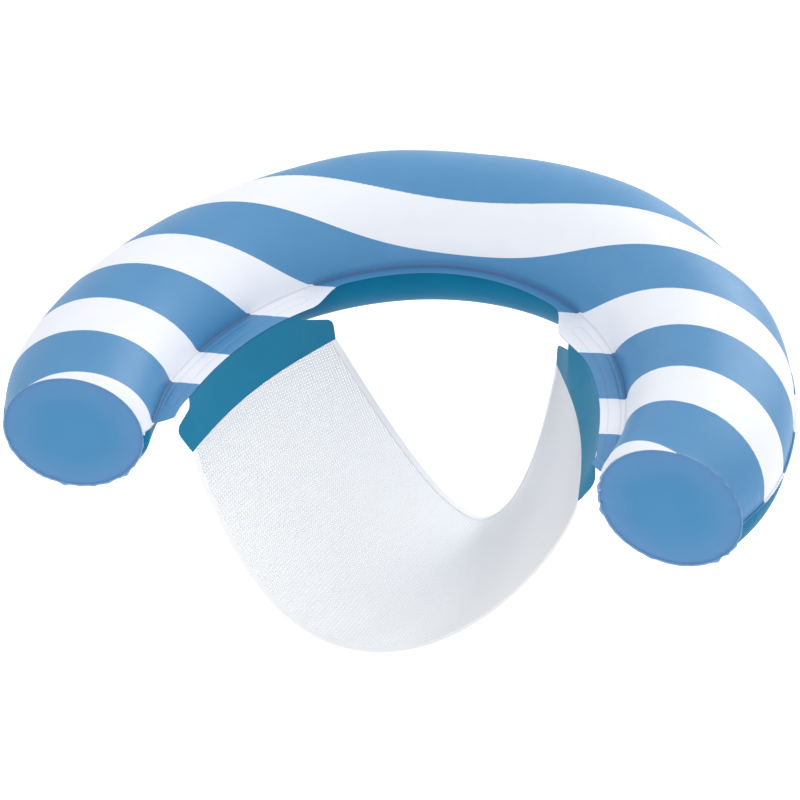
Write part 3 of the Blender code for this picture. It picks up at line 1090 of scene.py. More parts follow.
class SeatHeader:
    """The two strips that carry the mesh, and the lines that the mesh hangs from."""

    def __init__(self, plan: TubePlan, material: Material) -> None:
        """Keeps the plan and the finish, and finds the two ends of the weld.

        Args:
            plan: the tube that the strips are welded to.
            material: the finish of the strips.
        """
        self.plan, self.cut, self.material = plan, HeaderCut(), material
        self.front = self.weld_share(self.cut.weld_front)
        self.rear = self.weld_share(self.cut.weld_rear)

    def flange_edge(self, angle: float, inset: float) -> Vector:
        """A point of the right flange without its slack, this far back from its inner edge."""
        return mirrored(self.plan.flange_point(-angle, inset), Side.LEFT)

    def placed(self, point: Vector, side: Side, share: float, height_share: float) -> Vector:
        """Puts a point of the right strip on the given side.

        Args:
            point: the point on the plain right strip.
            side: the side it goes to.
            share: how far along the strip it lies.
            height_share: how far up it, where the right web's slack takes the strip along.

        Returns:
            The point.
        """
        angle = self.weld_angle(share)
        slack = self.plan.slack(angle) * height_share if side is Side.RIGHT else 0.0
        return mirrored(point, side) + self.plan.section(angle)[1] * slack

    def low(self, share: float) -> Vector:
        """The right strip's lower edge.

        Args:
            share: how far along, from the front end (0) to the rear end (1).

        Returns:
            The point.
        """
        cut = self.cut
        front, rear = self.flange_edge(cut.weld_front, 0), self.flange_edge(cut.weld_rear, 0)
        front = front - Vector((cut.front_inset, cut.front_tongue, cut.drop))
        rear = rear + Vector((-cut.rear_inset, cut.rear_tongue, -cut.drop))
        bow = Vector((cut.bow * math.sin(math.pi * share), 0, -cut.rear_dip * share**2))
        return mix(front, rear, share) + bow

    def weld_share(self, angle: float) -> float:
        """How far along the strip the flange edge at this angle lies."""
        return between(self.flange_edge(angle, 0).y, self.low(0).y, self.low(1).y)

    @lru_cache(maxsize=None)
    def weld_angle(self, share: float) -> float:
        """Finds where round the U the strip is welded.

        Args:
            share: how far along the strip.

        Returns:
            The angle, kept to the two ends of the weld.
        """
        front, rear = self.cut.weld_front, self.cut.weld_rear
        wanted = min(max(share, self.front), self.rear)
        for _ in range(self.cut.halvings):
            middle = (front + rear) / 2
            if self.weld_share(middle) < wanted:
                front = middle
            else:
                rear = middle
        return (front + rear) / 2

    def tab_point(self, share: float, inset: float) -> Vector:
        """A point on the strip's tab under the flange.

        Args:
            share: how far along the strip.
            inset: how far back from the flange's edge.

        Returns:
            The point.
        """
        plan = self.plan
        below = plan.gap / 2 + plan.film + plan.gap + self.cut.film / 2
        return self.flange_edge(self.weld_angle(share), inset) - Vector((0, 0, below))

    def point(self, share: float, height_share: float) -> Vector:
        """A point on the face of the right strip.

        Args:
            share: how far along the strip.
            height_share: how far up from its lower edge to the flange.

        Returns:
            The point.
        """
        weld_share = min(max(share, self.front), self.rear)
        lean = self.tab_point(share, 0) - self.low(weld_share)
        outwards = 1 - (1 - height_share) ** self.cut.curl
        flop = eased(between(share, self.front, 0)) * height_share
        rise = Vector((lean.x * outwards, lean.y * outwards, lean.z * height_share))
        return self.low(share) + rise + Vector(self.cut.front_flop) * flop

    def normal(self, share: float) -> Vector:
        """The direction out of the right strip at its lower edge, away from the sitter.

        Args:
            share: how far along the strip.

        Returns:
            The direction.
        """
        up = self.point(share, NUDGE) - self.low(share)
        along = self.low(share + NUDGE) - self.low(share)
        return along.cross(up).normalized()

    def top(self, share: float) -> float:
        """How high the strip is cut: full at the weld, down to a tongue past it.

        Args:
            share: how far along the strip.

        Returns:
            The height share of its upper edge.
        """
        cut = self.cut
        length = (self.low(1) - self.low(0)).length
        for end, weld, high, tip, notch in (
            (0.0, self.front, cut.front_top, cut.front_tip, cut.front_notch),
            (1.0, self.rear, cut.rear_top, cut.rear_tip, cut.rear_notch),
        ):
            out = between(share, weld, end)
            if out > 0:
                past, left = abs(share - weld) * length, abs(end - share) * length
                rounding = cut.rounding * (1 - rounded(left / cut.rounding_length))
                return mix(1.0, mix(high, tip, out), rounded(past / notch)) - rounding
        return 1.0

    def shares(self) -> list[float]:
        """Divides the strip from front to rear, closest at the two notches and the two tips.

        Returns:
            How far along the strip each column lies.
        """
        cut = self.cut
        found = {step / cut.steps for step in range(cut.steps + 1)} | {self.front, self.rear}
        for start, sign, apart, count in (
            (self.front, -1, cut.notch_step, cut.notch_steps),
            (self.rear, 1, cut.notch_step, cut.notch_steps),
            (0.0, 1, cut.tip_step, cut.tip_steps),
            (1.0, -1, cut.tip_step, cut.tip_steps),
        ):
            found |= {start + sign * apart * step for step in range(1, count + 1)}
        kept = []
        for share in sorted(found):
            if not kept or share - kept[-1] > cut.least_step:
                kept.append(share)
        return kept

    def corner(self, side: Side, share: float, row: int) -> Vector:
        """Places a corner of a strip: up its face, then back under the flange.

        Args:
            side: the strip's side.
            share: how far along it the corner lies.
            row: its row, from the lower edge to the edge of the tab.

        Returns:
            The point.
        """
        cut = self.cut
        if row <= cut.rise_rows:
            height_share = row / cut.rise_rows * self.top(share)
            return self.placed(self.point(share, height_share), side, share, height_share)
        tab = self.tab_point(share, cut.tab * (row - cut.rise_rows) / cut.tab_rows)
        return self.placed(tab, side, share, 1)

    def build_strip(self, side: Side) -> None:
        """Builds one strip, with its tab cut away past the two ends of the weld.

        Args:
            side: the strip's side.
        """
        shares, cut = self.shares(), self.cut
        bm, corners = sheet_grid(
            len(shares) - 1,
            cut.rise_rows + cut.tab_rows,
            lambda column, row: self.corner(side, shares[column], row),
        )
        unwanted = []
        for face in bm.faces:
            places = [corners[vert.index] for vert in face.verts]
            middle = sum(shares[column] for column, _ in places) / len(places)
            on_tab = min(row for _, row in places) >= cut.rise_rows
            if on_tab and not self.front < middle < self.rear:
                unwanted.append(face)
        bmesh.ops.delete(bm, geom=unwanted, context="FACES")
        name = f"{side.name.lower()}_seat_header"
        add_piece(name + "_film", bm, self.material, name, film=cut.film, offset=0)

    def build(self) -> None:
        """Builds the left and right strips."""
        for side in Side:
            self.build_strip(side)


@dataclass(frozen=True)
class SlingCut:
    """Sizes of the hanging mesh: how far its two free edges sag, lean and hang to one side.

    A fold is its height, how it turns across the mesh and along it, and where it starts.
    """

    cloth: float = 0.0006
    solid_cloth: float = 0.0010
    weld: float = 0.010
    front_sag: float = 0.240
    rear_sag: float = 0.375
    front_lean: float = -0.087
    rear_lean: float = 0.100
    front_shift: float = -0.021
    rear_shift: float = 0.014
    sag_powers: tuple[float, float] = (2.18, 1.82)
    sag_roundings: tuple[float, float] = (0.705, 1.015)
    lean_powers: tuple[float, float] = (1.31, 0.98)
    fold_height: float = 0.0013
    fold_edge: float = 0.12
    folds: tuple[tuple[float, float, float, float], ...] = ((1.0, 9, 2.2, 0.6), (0.6, 15, -3, 0.0))
    hem_depth: float = 0.028
    tape: float = 0.0004
    tape_gap: float = 0.0001
    tape_round: float = 0.05
    tape_end: float = 0.9985
    steps: int = 150
    rows: int = 84
    edge_steps: int = 3
    tape_steps: int = 220
    fold_steps: int = 6


class MeshSling:
    """The hanging mesh seat and the tapes that bind its front and rear edges."""

    def __init__(self, header: SeatHeader, cloth: Material, tape: Material) -> None:
        """Keeps the strips it hangs from and its finishes.

        Args:
            header: the strips.
            cloth: the finish of the mesh.
            tape: the finish of the tapes.
        """
        self.header, self.cut = header, SlingCut()
        self.cloth, self.tape = cloth, tape
        self.across = crowded(self.cut.steps)

    def point(self, across: float, share: float) -> Vector:
        """A point on the hanging mesh.

        Args:
            across: from -1 at the left strip to 1 at the right one.
            share: from the front edge (0) to the rear edge (1).

        Returns:
            The point.
        """
        cut, edge = self.cut, self.header.low(share)
        inside = 1 - across**2
        power, rounding = mix(*cut.sag_powers, share), mix(*cut.sag_roundings, share)
        drop = mix(cut.front_sag, cut.rear_sag, share) * held(1 - abs(across) ** power) ** rounding
        lean = mix(cut.front_lean, cut.rear_lean, share)
        lean *= held(inside) ** mix(*cut.lean_powers, share)
        shift = mix(cut.front_shift, cut.rear_shift, share) * inside
        height = edge.z - drop + self.fold(across, share)
        return Vector((edge.x * across + shift, edge.y + lean, height))

    def fold(self, across: float, share: float) -> float:
        """How high the slack folds stand in the cloth, none at its edges.

        Args:
            across: from -1 at the left strip to 1 at the right one.
            share: from the front edge (0) to the rear edge (1).

        Returns:
            The height.
        """
        cut = self.cut
        slack = held(1 - across**2) * held(min(share, 1 - share) / cut.fold_edge)
        soft = sum(
            height * math.sin(crosswise * across + lengthwise * share + start)
            for height, crosswise, lengthwise, start in cut.folds
        )
        return cut.fold_height * slack * soft

    def welded_point(self, side: Side, share: float, rise: float) -> Vector:
        """A point on the mesh's welded edge, on the outer face of the strip.

        Args:
            side: the strip's side.
            share: how far along the strip.
            rise: how far up it.

        Returns:
            The point.
        """
        header, cut = self.header, self.cut
        clear = header.cut.film / 2 + header.plan.gap + cut.solid_cloth / 2
        flange_rise = header.tab_point(share, 0).z - header.low(share).z
        up = header.point(share, rise / flange_rise) + header.normal(share) * clear
        return header.placed(up, side, share, rise / flange_rise)

    def cloth_point(self, column: int, row: int) -> Vector:
        """Places a corner of the mesh: up the left strip, across the sling, up the right strip.

        Args:
            column: its column, from left to right.
            row: its row, from front to rear.

        Returns:
            The point.
        """
        cut, share = self.cut, row / self.cut.rows
        inner = column - cut.edge_steps
        if inner < 0:
            return self.welded_point(Side.LEFT, share, cut.weld * -inner / cut.edge_steps)
        if inner > cut.steps:
            rise = cut.weld * (inner - cut.steps) / cut.edge_steps
            return self.welded_point(Side.RIGHT, share, rise)
        return self.point(self.across[inner], share)

    def build_cloth(self) -> Object:
        """Builds the mesh, with a flat map in metres for its weave.

        Returns:
            The mesh.
        """
        cut, solid = self.cut, "mesh_seat"
        columns = cut.steps + 2 * cut.edge_steps
        bm, corners = sheet_grid(columns, cut.rows, self.cloth_point)
        places = {corner: vert.co.copy() for vert, corner in zip(bm.verts, corners)}
        flat = self.flat_map(places, columns, cut.rows)
        map_cloth(bm, corners, lambda column, row: flat[column, row])
        return add_piece(
            solid + "_cloth", bm, self.cloth, solid, film=cut.cloth, offset=0
        )

    def flat_map(
        self, places: dict[tuple[int, int], Vector], columns: int, rows: int
    ) -> dict[tuple[int, int], tuple[float, float]]:
        """Lays the mesh out flat.

        Args:
            places: the point of each corner.
            columns: faces from left to right.
            rows: faces from front to rear.

        Returns:
            For each corner, how far it lies from the middle line between left and right, and from
            the one between front and rear, in metres.
        """
        flat = {}
        for row in range(rows + 1):
            middle, total = columns // 2, 0.0
            flat[middle, row] = 0.0
            for column in range(middle + 1, columns + 1):
                total += (places[column, row] - places[column - 1, row]).length
                flat[column, row] = total
            total = 0.0
            for column in range(middle - 1, -1, -1):
                total -= (places[column, row] - places[column + 1, row]).length
                flat[column, row] = total
        along = {}
        for column in range(columns + 1):
            total = 0.0
            for row in range(rows + 1):
                if row:
                    total += (places[column, row] - places[column, row - 1]).length
                along[column, row] = total
            for row in range(rows + 1):
                along[column, row] -= total / 2
        return {corner: (flat[corner], along[corner]) for corner in places}

    def tape_ring(self, across: float, edge_share: float, inner_share: float) -> list[Vector]:
        """The closed outline of the tape folded over the mesh's edge.

        Args:
            across: from -1 at the left strip to 1 at the right one.
            edge_share: where the mesh's edge lies, from front (0) to rear (1).
            inner_share: where the tape ends inside that edge.

        Returns:
            The points of the outline, in order.
        """
        cut = self.cut
        edge, inner = self.point(across, edge_share), self.point(across, inner_share)
        inwards = (inner - edge).normalized()
        along = self.point(across + NUDGE, edge_share) - self.point(across - NUDGE, edge_share)
        normal = along.cross(inwards).normalized()
        depth = (inner - edge).length
        near = cut.cloth / 2 + cut.tape_gap
        far = near + cut.tape
        turns = [math.pi * step / cut.fold_steps for step in range(cut.fold_steps + 1)]
        outline = [(depth, far), (depth / 2, far)]
        outline += [(-far * math.sin(turn), far * math.cos(turn)) for turn in turns]
        outline += [(depth / 2, -far), (depth, -far), (depth, -near), (depth / 2, -near)]
        outline += [(-near * math.sin(turn), -near * math.cos(turn)) for turn in turns]
        outline += [(depth / 2, near), (depth, near)]
        return [edge + inwards * reach + normal * height for reach, height in outline]

    def build_tape(self, name: str, edge_share: float, inner_share: float) -> Object:
        """Builds the tape on the front or rear edge.

        Args:
            name: the solid that it stands for.
            edge_share: where the mesh's edge lies, from front (0) to rear (1).
            inner_share: where the tape ends inside that edge.

        Returns:
            The tape.
        """
        cut = self.cut
        across = crowded(cut.tape_steps, cut.tape_end)
        rings = [self.tape_ring(share, edge_share, inner_share) for share in across]
        sides = len(rings[0])
        bm, corners = sheet_grid(
            cut.tape_steps, sides, lambda column, row: rings[column][row % sides]
        )
        lengths = [0.0]
        for before, after in zip(rings, rings[1:]):
            lengths.append(lengths[-1] + (after[0] - before[0]).length)
        map_cloth(bm, corners, lambda column, row: (lengths[column], row / sides * cut.tape_round))
        bmesh.ops.remove_doubles(bm, verts=bm.verts[:], dist=MERGE_DISTANCE)
        bmesh.ops.holes_fill(bm, edges=bm.edges[:], sides=0)
        bmesh.ops.recalc_face_normals(bm, faces=bm.faces[:])
        return add_piece(name + "_tape", bm, self.tape, name)

    def build(self) -> None:
        """Builds the mesh and its two tapes."""
        cloth = self.build_cloth()
        front = self.build_tape("front_hem_binding", 0, self.cut.hem_depth)
        rear = self.build_tape("rear_hem_binding", 1, 1 - self.cut.hem_depth)


# Finishes


def linear(code: str) -> tuple[float, float, float, float]:
    """Turns a colour linear.

    Args:
        code: its sRGB hex code, such as #5891C0.

    Returns:
        Its linear red, green and blue, and an alpha of 1.
    """
    parts = [int(code[place : place + 2], 16) / 255 for place in (1, 3, 5)]
    values = (
        part / 12.92 if part <= 0.04045 else ((part + 0.055) / 1.055) ** 2.4 for part in parts
    )
    return (*values, 1.0)


def set_inputs(tree: NodeTree, node: Node, inputs: dict) -> None:
    """Sets or links the inputs of a node.

    Args:
        tree: the material's nodes.
        node: the node.
        inputs: for each input, a value, or another node's output to link.
    """
    for name, value in inputs.items():
        if isinstance(value, NodeSocket):
            tree.links.new(value, node.inputs[name])
        else:
            node.inputs[name].default_value = value


def add_node(tree: NodeTree, kind: str, inputs: dict | None = None, **settings: object) -> Node:
    """Adds a shader node.

    Args:
        tree: the material's nodes.
        kind: the node's type.
        inputs: for each input, a value, or another node's output to link.
        settings: the node's own settings.

    Returns:
        The node.
    """
    node = tree.nodes.new(kind)
    for name, value in settings.items():
        setattr(node, name, value)
    set_inputs(tree, node, inputs or {})
    return node


def new_material(name: str) -> tuple[Material, NodeTree, Node]:
    """Starts a material.

    Args:
        name: its name.

    Returns:
        The material, its nodes and its Principled shader.
    """
    material = bpy.data.materials.new(name)
    material.use_nodes = True
    tree = material.node_tree
    return material, tree, tree.nodes["Principled BSDF"]


def per_metre(feature_mm: float) -> float:
    """The scale at which a pattern on metres repeats about every so many millimetres."""
    return 1 / (feature_mm * MM)


def near_line(
    tree: NodeTree, attribute: str, start_mm: float, end_mm: float, most: float = 1.0
) -> NodeSocket:
    """Marks the surface near a line.

    Args:
        tree: the material's nodes.
        attribute: the mesh's distance from the line.
        start_mm: the distance up to which the mark is full.
        end_mm: the distance at which it has gone.
        most: the full mark.

    Returns:
        The mark, from 0 to most.
    """
    apart = add_node(tree, "ShaderNodeAttribute", attribute_name=attribute).outputs["Fac"]
    ends = {"From Min": start_mm * MM, "From Max": end_mm * MM, "To Min": most, "To Max": 0.0}
    return add_node(
        tree, "ShaderNodeMapRange", {"Value": apart, **ends}, interpolation_type="SMOOTHSTEP"
    ).outputs["Result"]


def blended(
    tree: NodeTree,
    share: NodeSocket,
    one: str | NodeSocket,
    two: str | NodeSocket,
    **settings: object,
) -> NodeSocket:
    """Blends two colours.

    Args:
        tree: the material's nodes.
        share: how much of the second one shows, from 0 to 1.
        one: a hex code, or another node's colour.
        two: the same for the second one.
        settings: the Mix node's own settings.

    Returns:
        The blended colour.
    """
    ends = [linear(end) if isinstance(end, str) else end for end in (one, two)]
    inputs = {0: share, 6: ends[0], 7: ends[1]}
    return add_node(tree, "ShaderNodeMix", inputs, data_type="RGBA", **settings).outputs[2]


@dataclass(frozen=True)
class FilmSurface:
    """The face of calendered PVC film: satin, with slow ripples and a fine grain of the rollers."""

    roughness: float = 0.46
    uneven: float = 0.05
    gloss: float = 0.32
    ripple_mm: float = 38
    ripple_height: float = 0.00025
    ripple_detail: float = 1.5
    grain_mm: float = 2.2
    grain_height: float = 0.00003
    grain_detail: float = 2.0
    line_mm: float = 0.7
    line_edge_mm: float = 1.3
    line_depth: float = 0.00010

    def dress(self, tree: NodeTree, shader: Node, line: NodeSocket | None = None) -> NodeSocket:
        """Gives the shader its roughness and relief.

        Args:
            tree: the material's nodes.
            shader: its Principled shader.
            line: 1 on a weld line and 0 off it, where the piece has weld lines.

        Returns:
            A slow noise from 0 to 1, for the colour to vary with.
        """
        place = add_node(tree, "ShaderNodeTexCoord").outputs["Object"]
        slow, fine = (
            add_node(
                tree,
                "ShaderNodeTexNoise",
                {"Vector": place, "Scale": per_metre(size_mm), "Detail": detail},
            ).outputs["Fac"]
            for size_mm, detail in (
                (self.ripple_mm, self.ripple_detail),
                (self.grain_mm, self.grain_detail),
            )
        )
        relief = self.bump(tree, slow, self.ripple_height)
        relief = self.bump(tree, fine, self.grain_height, relief)
        if line:
            relief = self.bump(tree, line, -self.line_depth, relief)
        smoothest, roughest = self.roughness - self.uneven, self.roughness + self.uneven
        rough = add_node(
            tree, "ShaderNodeMapRange", {"Value": slow, "To Min": smoothest, "To Max": roughest}
        ).outputs["Result"]
        finish = {"Normal": relief, "Roughness": rough, "Specular IOR Level": self.gloss}
        set_inputs(tree, shader, finish)
        return slow

    def bump(
        self, tree: NodeTree, height: NodeSocket, depth: float, under: NodeSocket | None = None
    ) -> NodeSocket:
        """Adds a relief on top of another.

        Args:
            tree: the material's nodes.
            height: its pattern, from 0 to 1.
            depth: its height in metres; a negative one sinks.
            under: the relief under it.

        Returns:
            The relief of both.
        """
        inputs = {"Height": height, "Distance": abs(depth), "Strength": 1.0}
        if under:
            inputs["Normal"] = under
        return add_node(tree, "ShaderNodeBump", inputs, invert=depth < 0).outputs["Normal"]

    def weld_line(self, tree: NodeTree) -> NodeSocket:
        """1 on the weld lines of a tube panel, falling to 0 beside them."""
        half = self.line_mm / 2
        return near_line(tree, WELD_ATTRIBUTE, half, half + self.line_edge_mm)


@dataclass(frozen=True)
class SeamShade:
    """How a panel's colour deepens on its weld lines, with painted shade along the crease between
    web and wall.
    """

    line: str = "#EFF0F4"
    # Painted shade: this grey is multiplied in along the crease, where the fold between web and
    # wall lies in shade.
    crease: str = "#E2E3E8"
    crease_shade_mm: tuple[float, float] = (0.2, 4.0)
    # Painted shade: this grey-blue darkens the blue beside the crease, in the hollow between wall
    # and web.
    hollow: str = "#B4BCCB"
    hollow_shade_mm: tuple[float, float] = (1.0, 13.0)
    hollow_shade_most: float = 0.8

    def lined_and_crease_shaded(self, tree: NodeTree, line: NodeSocket, colour: NodeSocket) -> NodeSocket:
        """The colour, darker on the weld lines, where the film is welded double, and with painted
        shade at the crease.

        Args:
            tree: the material's nodes.
            line: 1 on a weld line and 0 off it.
            colour: the film's colour.

        Returns:
            The darker colour.
        """
        lined = blended(tree, line, colour, self.line, blend_type="MULTIPLY")
        # Painted shade along the crease between web and wall.
        crease = near_line(tree, CREASE_ATTRIBUTE, *self.crease_shade_mm)
        return blended(tree, crease, lined, self.crease, blend_type="MULTIPLY")

    def hollow_shaded(self, tree: NodeTree, colour: NodeSocket) -> NodeSocket:
        """The printed blue, with painted shade beside the crease, where wall and web shade each
        other.
        """
        # Painted shade, strongest at the crease and gone about 13 mm from it.
        hollow = near_line(tree, CREASE_ATTRIBUTE, *self.hollow_shade_mm, self.hollow_shade_most)
        return blended(tree, hollow, colour, self.hollow, blend_type="MULTIPLY")


@dataclass(frozen=True)
class StripedFilm:
    """Calendered PVC film, screen printed: an opaque blue with wavy white stripes, crisp edged."""

    blue: str = "#4C8DBE"
    blue_deep: str = "#4687B8"
    white: str = "#F0F3FA"
    white_deep: str = "#EAEEF7"
    soft_edge: float = 0.014
    surface: FilmSurface = FilmSurface(gloss=0.6)
    shade: SeamShade = SeamShade()

    def make(self) -> Material:
        """Makes the material.

        Returns:
            The material, whose stripes follow the film's own attribute.
        """
        material, tree, shader = new_material("PVC_film_striped_print")
        line = self.surface.weld_line(tree)
        slow = self.surface.dress(tree, shader, line)
        phase = add_node(tree, "ShaderNodeAttribute", attribute_name=STRIPE_ATTRIBUTE)
        half_turns = {0: phase.outputs["Fac"], 1: math.pi}
        turn = add_node(tree, "ShaderNodeMath", half_turns, operation="MULTIPLY")
        wave = add_node(tree, "ShaderNodeMath", {0: turn.outputs[0]}, operation="SINE")
        stripe = add_node(
            tree,
            "ShaderNodeMapRange",
            {"Value": wave.outputs[0], "From Min": -self.soft_edge, "From Max": self.soft_edge},
            interpolation_type="SMOOTHSTEP",
        ).outputs["Result"]
        # The blue gets painted shade beside the crease.
        blue = self.shade.hollow_shaded(tree, blended(tree, slow, self.blue, self.blue_deep))
        white = blended(tree, slow, self.white, self.white_deep)
        ink = blended(tree, stripe, blue, white)
        # Weld lines darkened, and painted shade along the crease.
        set_inputs(tree, shader, {"Base Color": self.shade.lined_and_crease_shaded(tree, line, ink)})
        return material


@dataclass(frozen=True)
class PlainFilm:
    """Calendered PVC film in one colour, with the slight unevenness of its pigment."""

    name: str
    colour: str
    deep: str
    welded: bool = False
    surface: FilmSurface = FilmSurface(gloss=0.04)
    shade: SeamShade = SeamShade()

    def make(self) -> Material:
        """Makes the material.

        Returns:
            The material, darker on its weld lines where it has them, and with painted shade at the
            crease.
        """
        material, tree, shader = new_material(self.name)
        line = self.surface.weld_line(tree) if self.welded else None
        slow = self.surface.dress(tree, shader, line)
        colour = blended(tree, slow, self.colour, self.deep)
        if line:
            # Weld lines darkened, and painted shade along the crease.
            colour = self.shade.lined_and_crease_shaded(tree, line, colour)
        set_inputs(tree, shader, {"Base Color": colour})
        return material


TEAL_PANEL = PlainFilm("PVC_film_teal", "#0C779E", "#0A7198", welded=True)
TEAL_STRIP = PlainFilm("PVC_film_teal_strip", "#2B81A4", "#277B9E")


@dataclass(frozen=True)
class DiscFilm:
    """The blue film of the end discs, with a painted sheen that pales it towards the weld and a
    painted highlight along the rim.
    """

    blue: str = "#488CBC"
    blue_deep: str = "#4286B6"
    # Painted sheen: the purple-blue that the disc pales to towards its rim.
    edge_sheen: str = "#6A90C0"
    edge_sheen_mm: tuple[float, float] = (-10, 60)
    edge_sheen_most: float = 0.55
    # Painted highlight: the pale blue of a thin line along the crimped rim.
    rim: str = "#9CBCDD"
    rim_highlight_mm: tuple[float, float] = (0.3, 2.2)
    rim_highlight_most: float = 0.65
    surface: FilmSurface = FilmSurface(gloss=0.3)

    def make(self) -> Material:
        """Makes the material.

        Returns:
            The material, which follows the distance from the rim.
        """
        material, tree, shader = new_material("PVC_film_blue_disc")
        slow = self.surface.dress(tree, shader)
        blue = blended(tree, slow, self.blue, self.blue_deep)
        # Painted sheen, full at the rim and gone about 60 mm in from it.
        outer = near_line(tree, RIM_ATTRIBUTE, *self.edge_sheen_mm, self.edge_sheen_most)
        # Painted highlight along the crimped rim.
        rim = near_line(tree, RIM_ATTRIBUTE, *self.rim_highlight_mm, self.rim_highlight_most)
        colour = blended(tree, rim, blended(tree, outer, blue, self.edge_sheen), self.rim)
        set_inputs(tree, shader, {"Base Color": colour})
        return material


@dataclass(frozen=True)
class OpenMesh:
    """Knitted polyester mesh: matt white threads round small holes, which let light through.

    The holes are 5.4 mm apart, as in the photograph, where they only just show.
    """

    colour: str = "#EEF0F5"
    hollow: str = "#E1E4EB"
    pitch_mm: float = 5.4
    hole: float = 0.27
    soft: float = 0.06
    relief: float = 0.0004
    relief_strength: float = 0.8
    roughness: float = 0.75
    sheen: float = 0.15
    ior: float = 1.5
    light_through: float = 0.9
    light_depth: float = 0.004

    def make(self) -> Material:
        """Makes the material.

        Returns:
            The material, whose holes follow the cloth's flat map in metres.
        """
        material, tree, shader = new_material("polyester_mesh_knit")
        flat = add_node(tree, "ShaderNodeUVMap", uv_map=CLOTH_UV).outputs["UV"]
        scale = (per_metre(self.pitch_mm), per_metre(self.pitch_mm), 1)
        laid = add_node(tree, "ShaderNodeMapping", {"Vector": flat, "Scale": scale})
        apart = add_node(
            tree,
            "ShaderNodeTexVoronoi",
            {"Vector": laid.outputs["Vector"], "Scale": 1.0, "Randomness": 0.0},
            voronoi_dimensions="2D",
        ).outputs["Distance"]
        solid = add_node(
            tree,
            "ShaderNodeMapRange",
            {"Value": apart, "From Min": self.hole - self.soft, "From Max": self.hole + self.soft},
            interpolation_type="SMOOTHSTEP",
        ).outputs["Result"]
        bump = add_node(
            tree,
            "ShaderNodeBump",
            {"Height": solid, "Distance": self.relief, "Strength": self.relief_strength},
        ).outputs["Normal"]
        finish = {
            "Base Color": blended(tree, solid, self.hollow, self.colour),
            "Normal": bump,
            "Alpha": solid,
            "Roughness": self.roughness,
            "Sheen Weight": self.sheen,
            "IOR": self.ior,
            "Subsurface Weight": self.light_through,
            "Subsurface Radius": (1.0, 1.0, 1.0),
            "Subsurface Scale": self.light_depth,
        }
        set_inputs(tree, shader, finish)
        return material


@dataclass(frozen=True)
class BindingTape:
    """Woven polyester tape: thin and matt, with ribs across it, drawn coarse enough to show."""

    colour: str = "#FFFFFF"
    groove: str = "#F6F7FA"
    rib_mm: float = 2.4
    rib_wander: float = 0.3
    rib_detail: float = 1.0
    relief: float = 0.0001
    relief_strength: float = 0.7
    roughness: float = 0.7
    ior: float = 1.5

    def make(self) -> Material:
        """Makes the material.

        Returns:
            The material, whose ribs follow the tape's length.
        """
        material, tree, shader = new_material("polyester_tape_woven")
        pattern = {
            "Vector": add_node(tree, "ShaderNodeUVMap", uv_map=CLOTH_UV).outputs["UV"],
            "Scale": BAND_PERIOD * per_metre(self.rib_mm),
            "Distortion": self.rib_wander,
            "Detail": self.rib_detail,
        }
        ribs = add_node(
            tree, "ShaderNodeTexWave", pattern, wave_type="BANDS", bands_direction="X"
        ).outputs["Fac"]
        bump = add_node(
            tree,
            "ShaderNodeBump",
            {"Height": ribs, "Distance": self.relief, "Strength": self.relief_strength},
        ).outputs["Normal"]
        finish = {
            "Base Color": blended(tree, ribs, self.groove, self.colour),
            "Normal": bump,
            "Roughness": self.roughness,
            "IOR": self.ior,
        }
        set_inputs(tree, shader, finish)
        return material


@dataclass(frozen=True)
class SoftMoulding:
    """Injection-moulded soft PVC: milky, with a faint satin texture from its mould."""

    colour: str = "#C9DBE8"
    deep: str = "#BCD2E2"
    roughness: float = 0.3
    ior: float = 1.53
    texture_mm: float = 0.8
    texture_detail: float = 2.0
    relief: float = 0.00004
    relief_strength: float = 0.6

    def make(self) -> Material:
        """Makes the material.

        Returns:
            The material.
        """
        material, tree, shader = new_material("soft_PVC_moulded")
        pattern = {
            "Vector": add_node(tree, "ShaderNodeTexCoord").outputs["Object"],
            "Scale": per_metre(self.texture_mm),
            "Detail": self.texture_detail,
        }
        grain = add_node(tree, "ShaderNodeTexNoise", pattern).outputs["Fac"]
        bump = add_node(
            tree,
            "ShaderNodeBump",
            {"Height": grain, "Distance": self.relief, "Strength": self.relief_strength},
        ).outputs["Normal"]
        finish = {
            "Base Color": blended(tree, grain, self.colour, self.deep),
            "Normal": bump,
            "Roughness": self.roughness,
            "IOR": self.ior,
        }
        set_inputs(tree, shader, finish)
        return material


@dataclass(frozen=True)
class AirValve:
    """The valve behind the backrest: its own solids, dressed in their moulding."""

    material: Material
    solids: tuple[str, ...] = ("valve_body", "valve_plug", "valve_check_flap")

    def build(self) -> None:
        """Dresses the valve's body, plug and check flap."""
        for name in self.solids:
            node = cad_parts[name]
            node.data.materials.clear()
            node.data.materials.append(self.material)
            LOG.info("%s: dressed", name)


# Studio


@dataclass(frozen=True)
class Lamp:
    """A soft square white lamp: where it hangs, its side in metres and its power in watts."""

    name: str
    place: tuple[float, float, float]
    size: float
    power: float


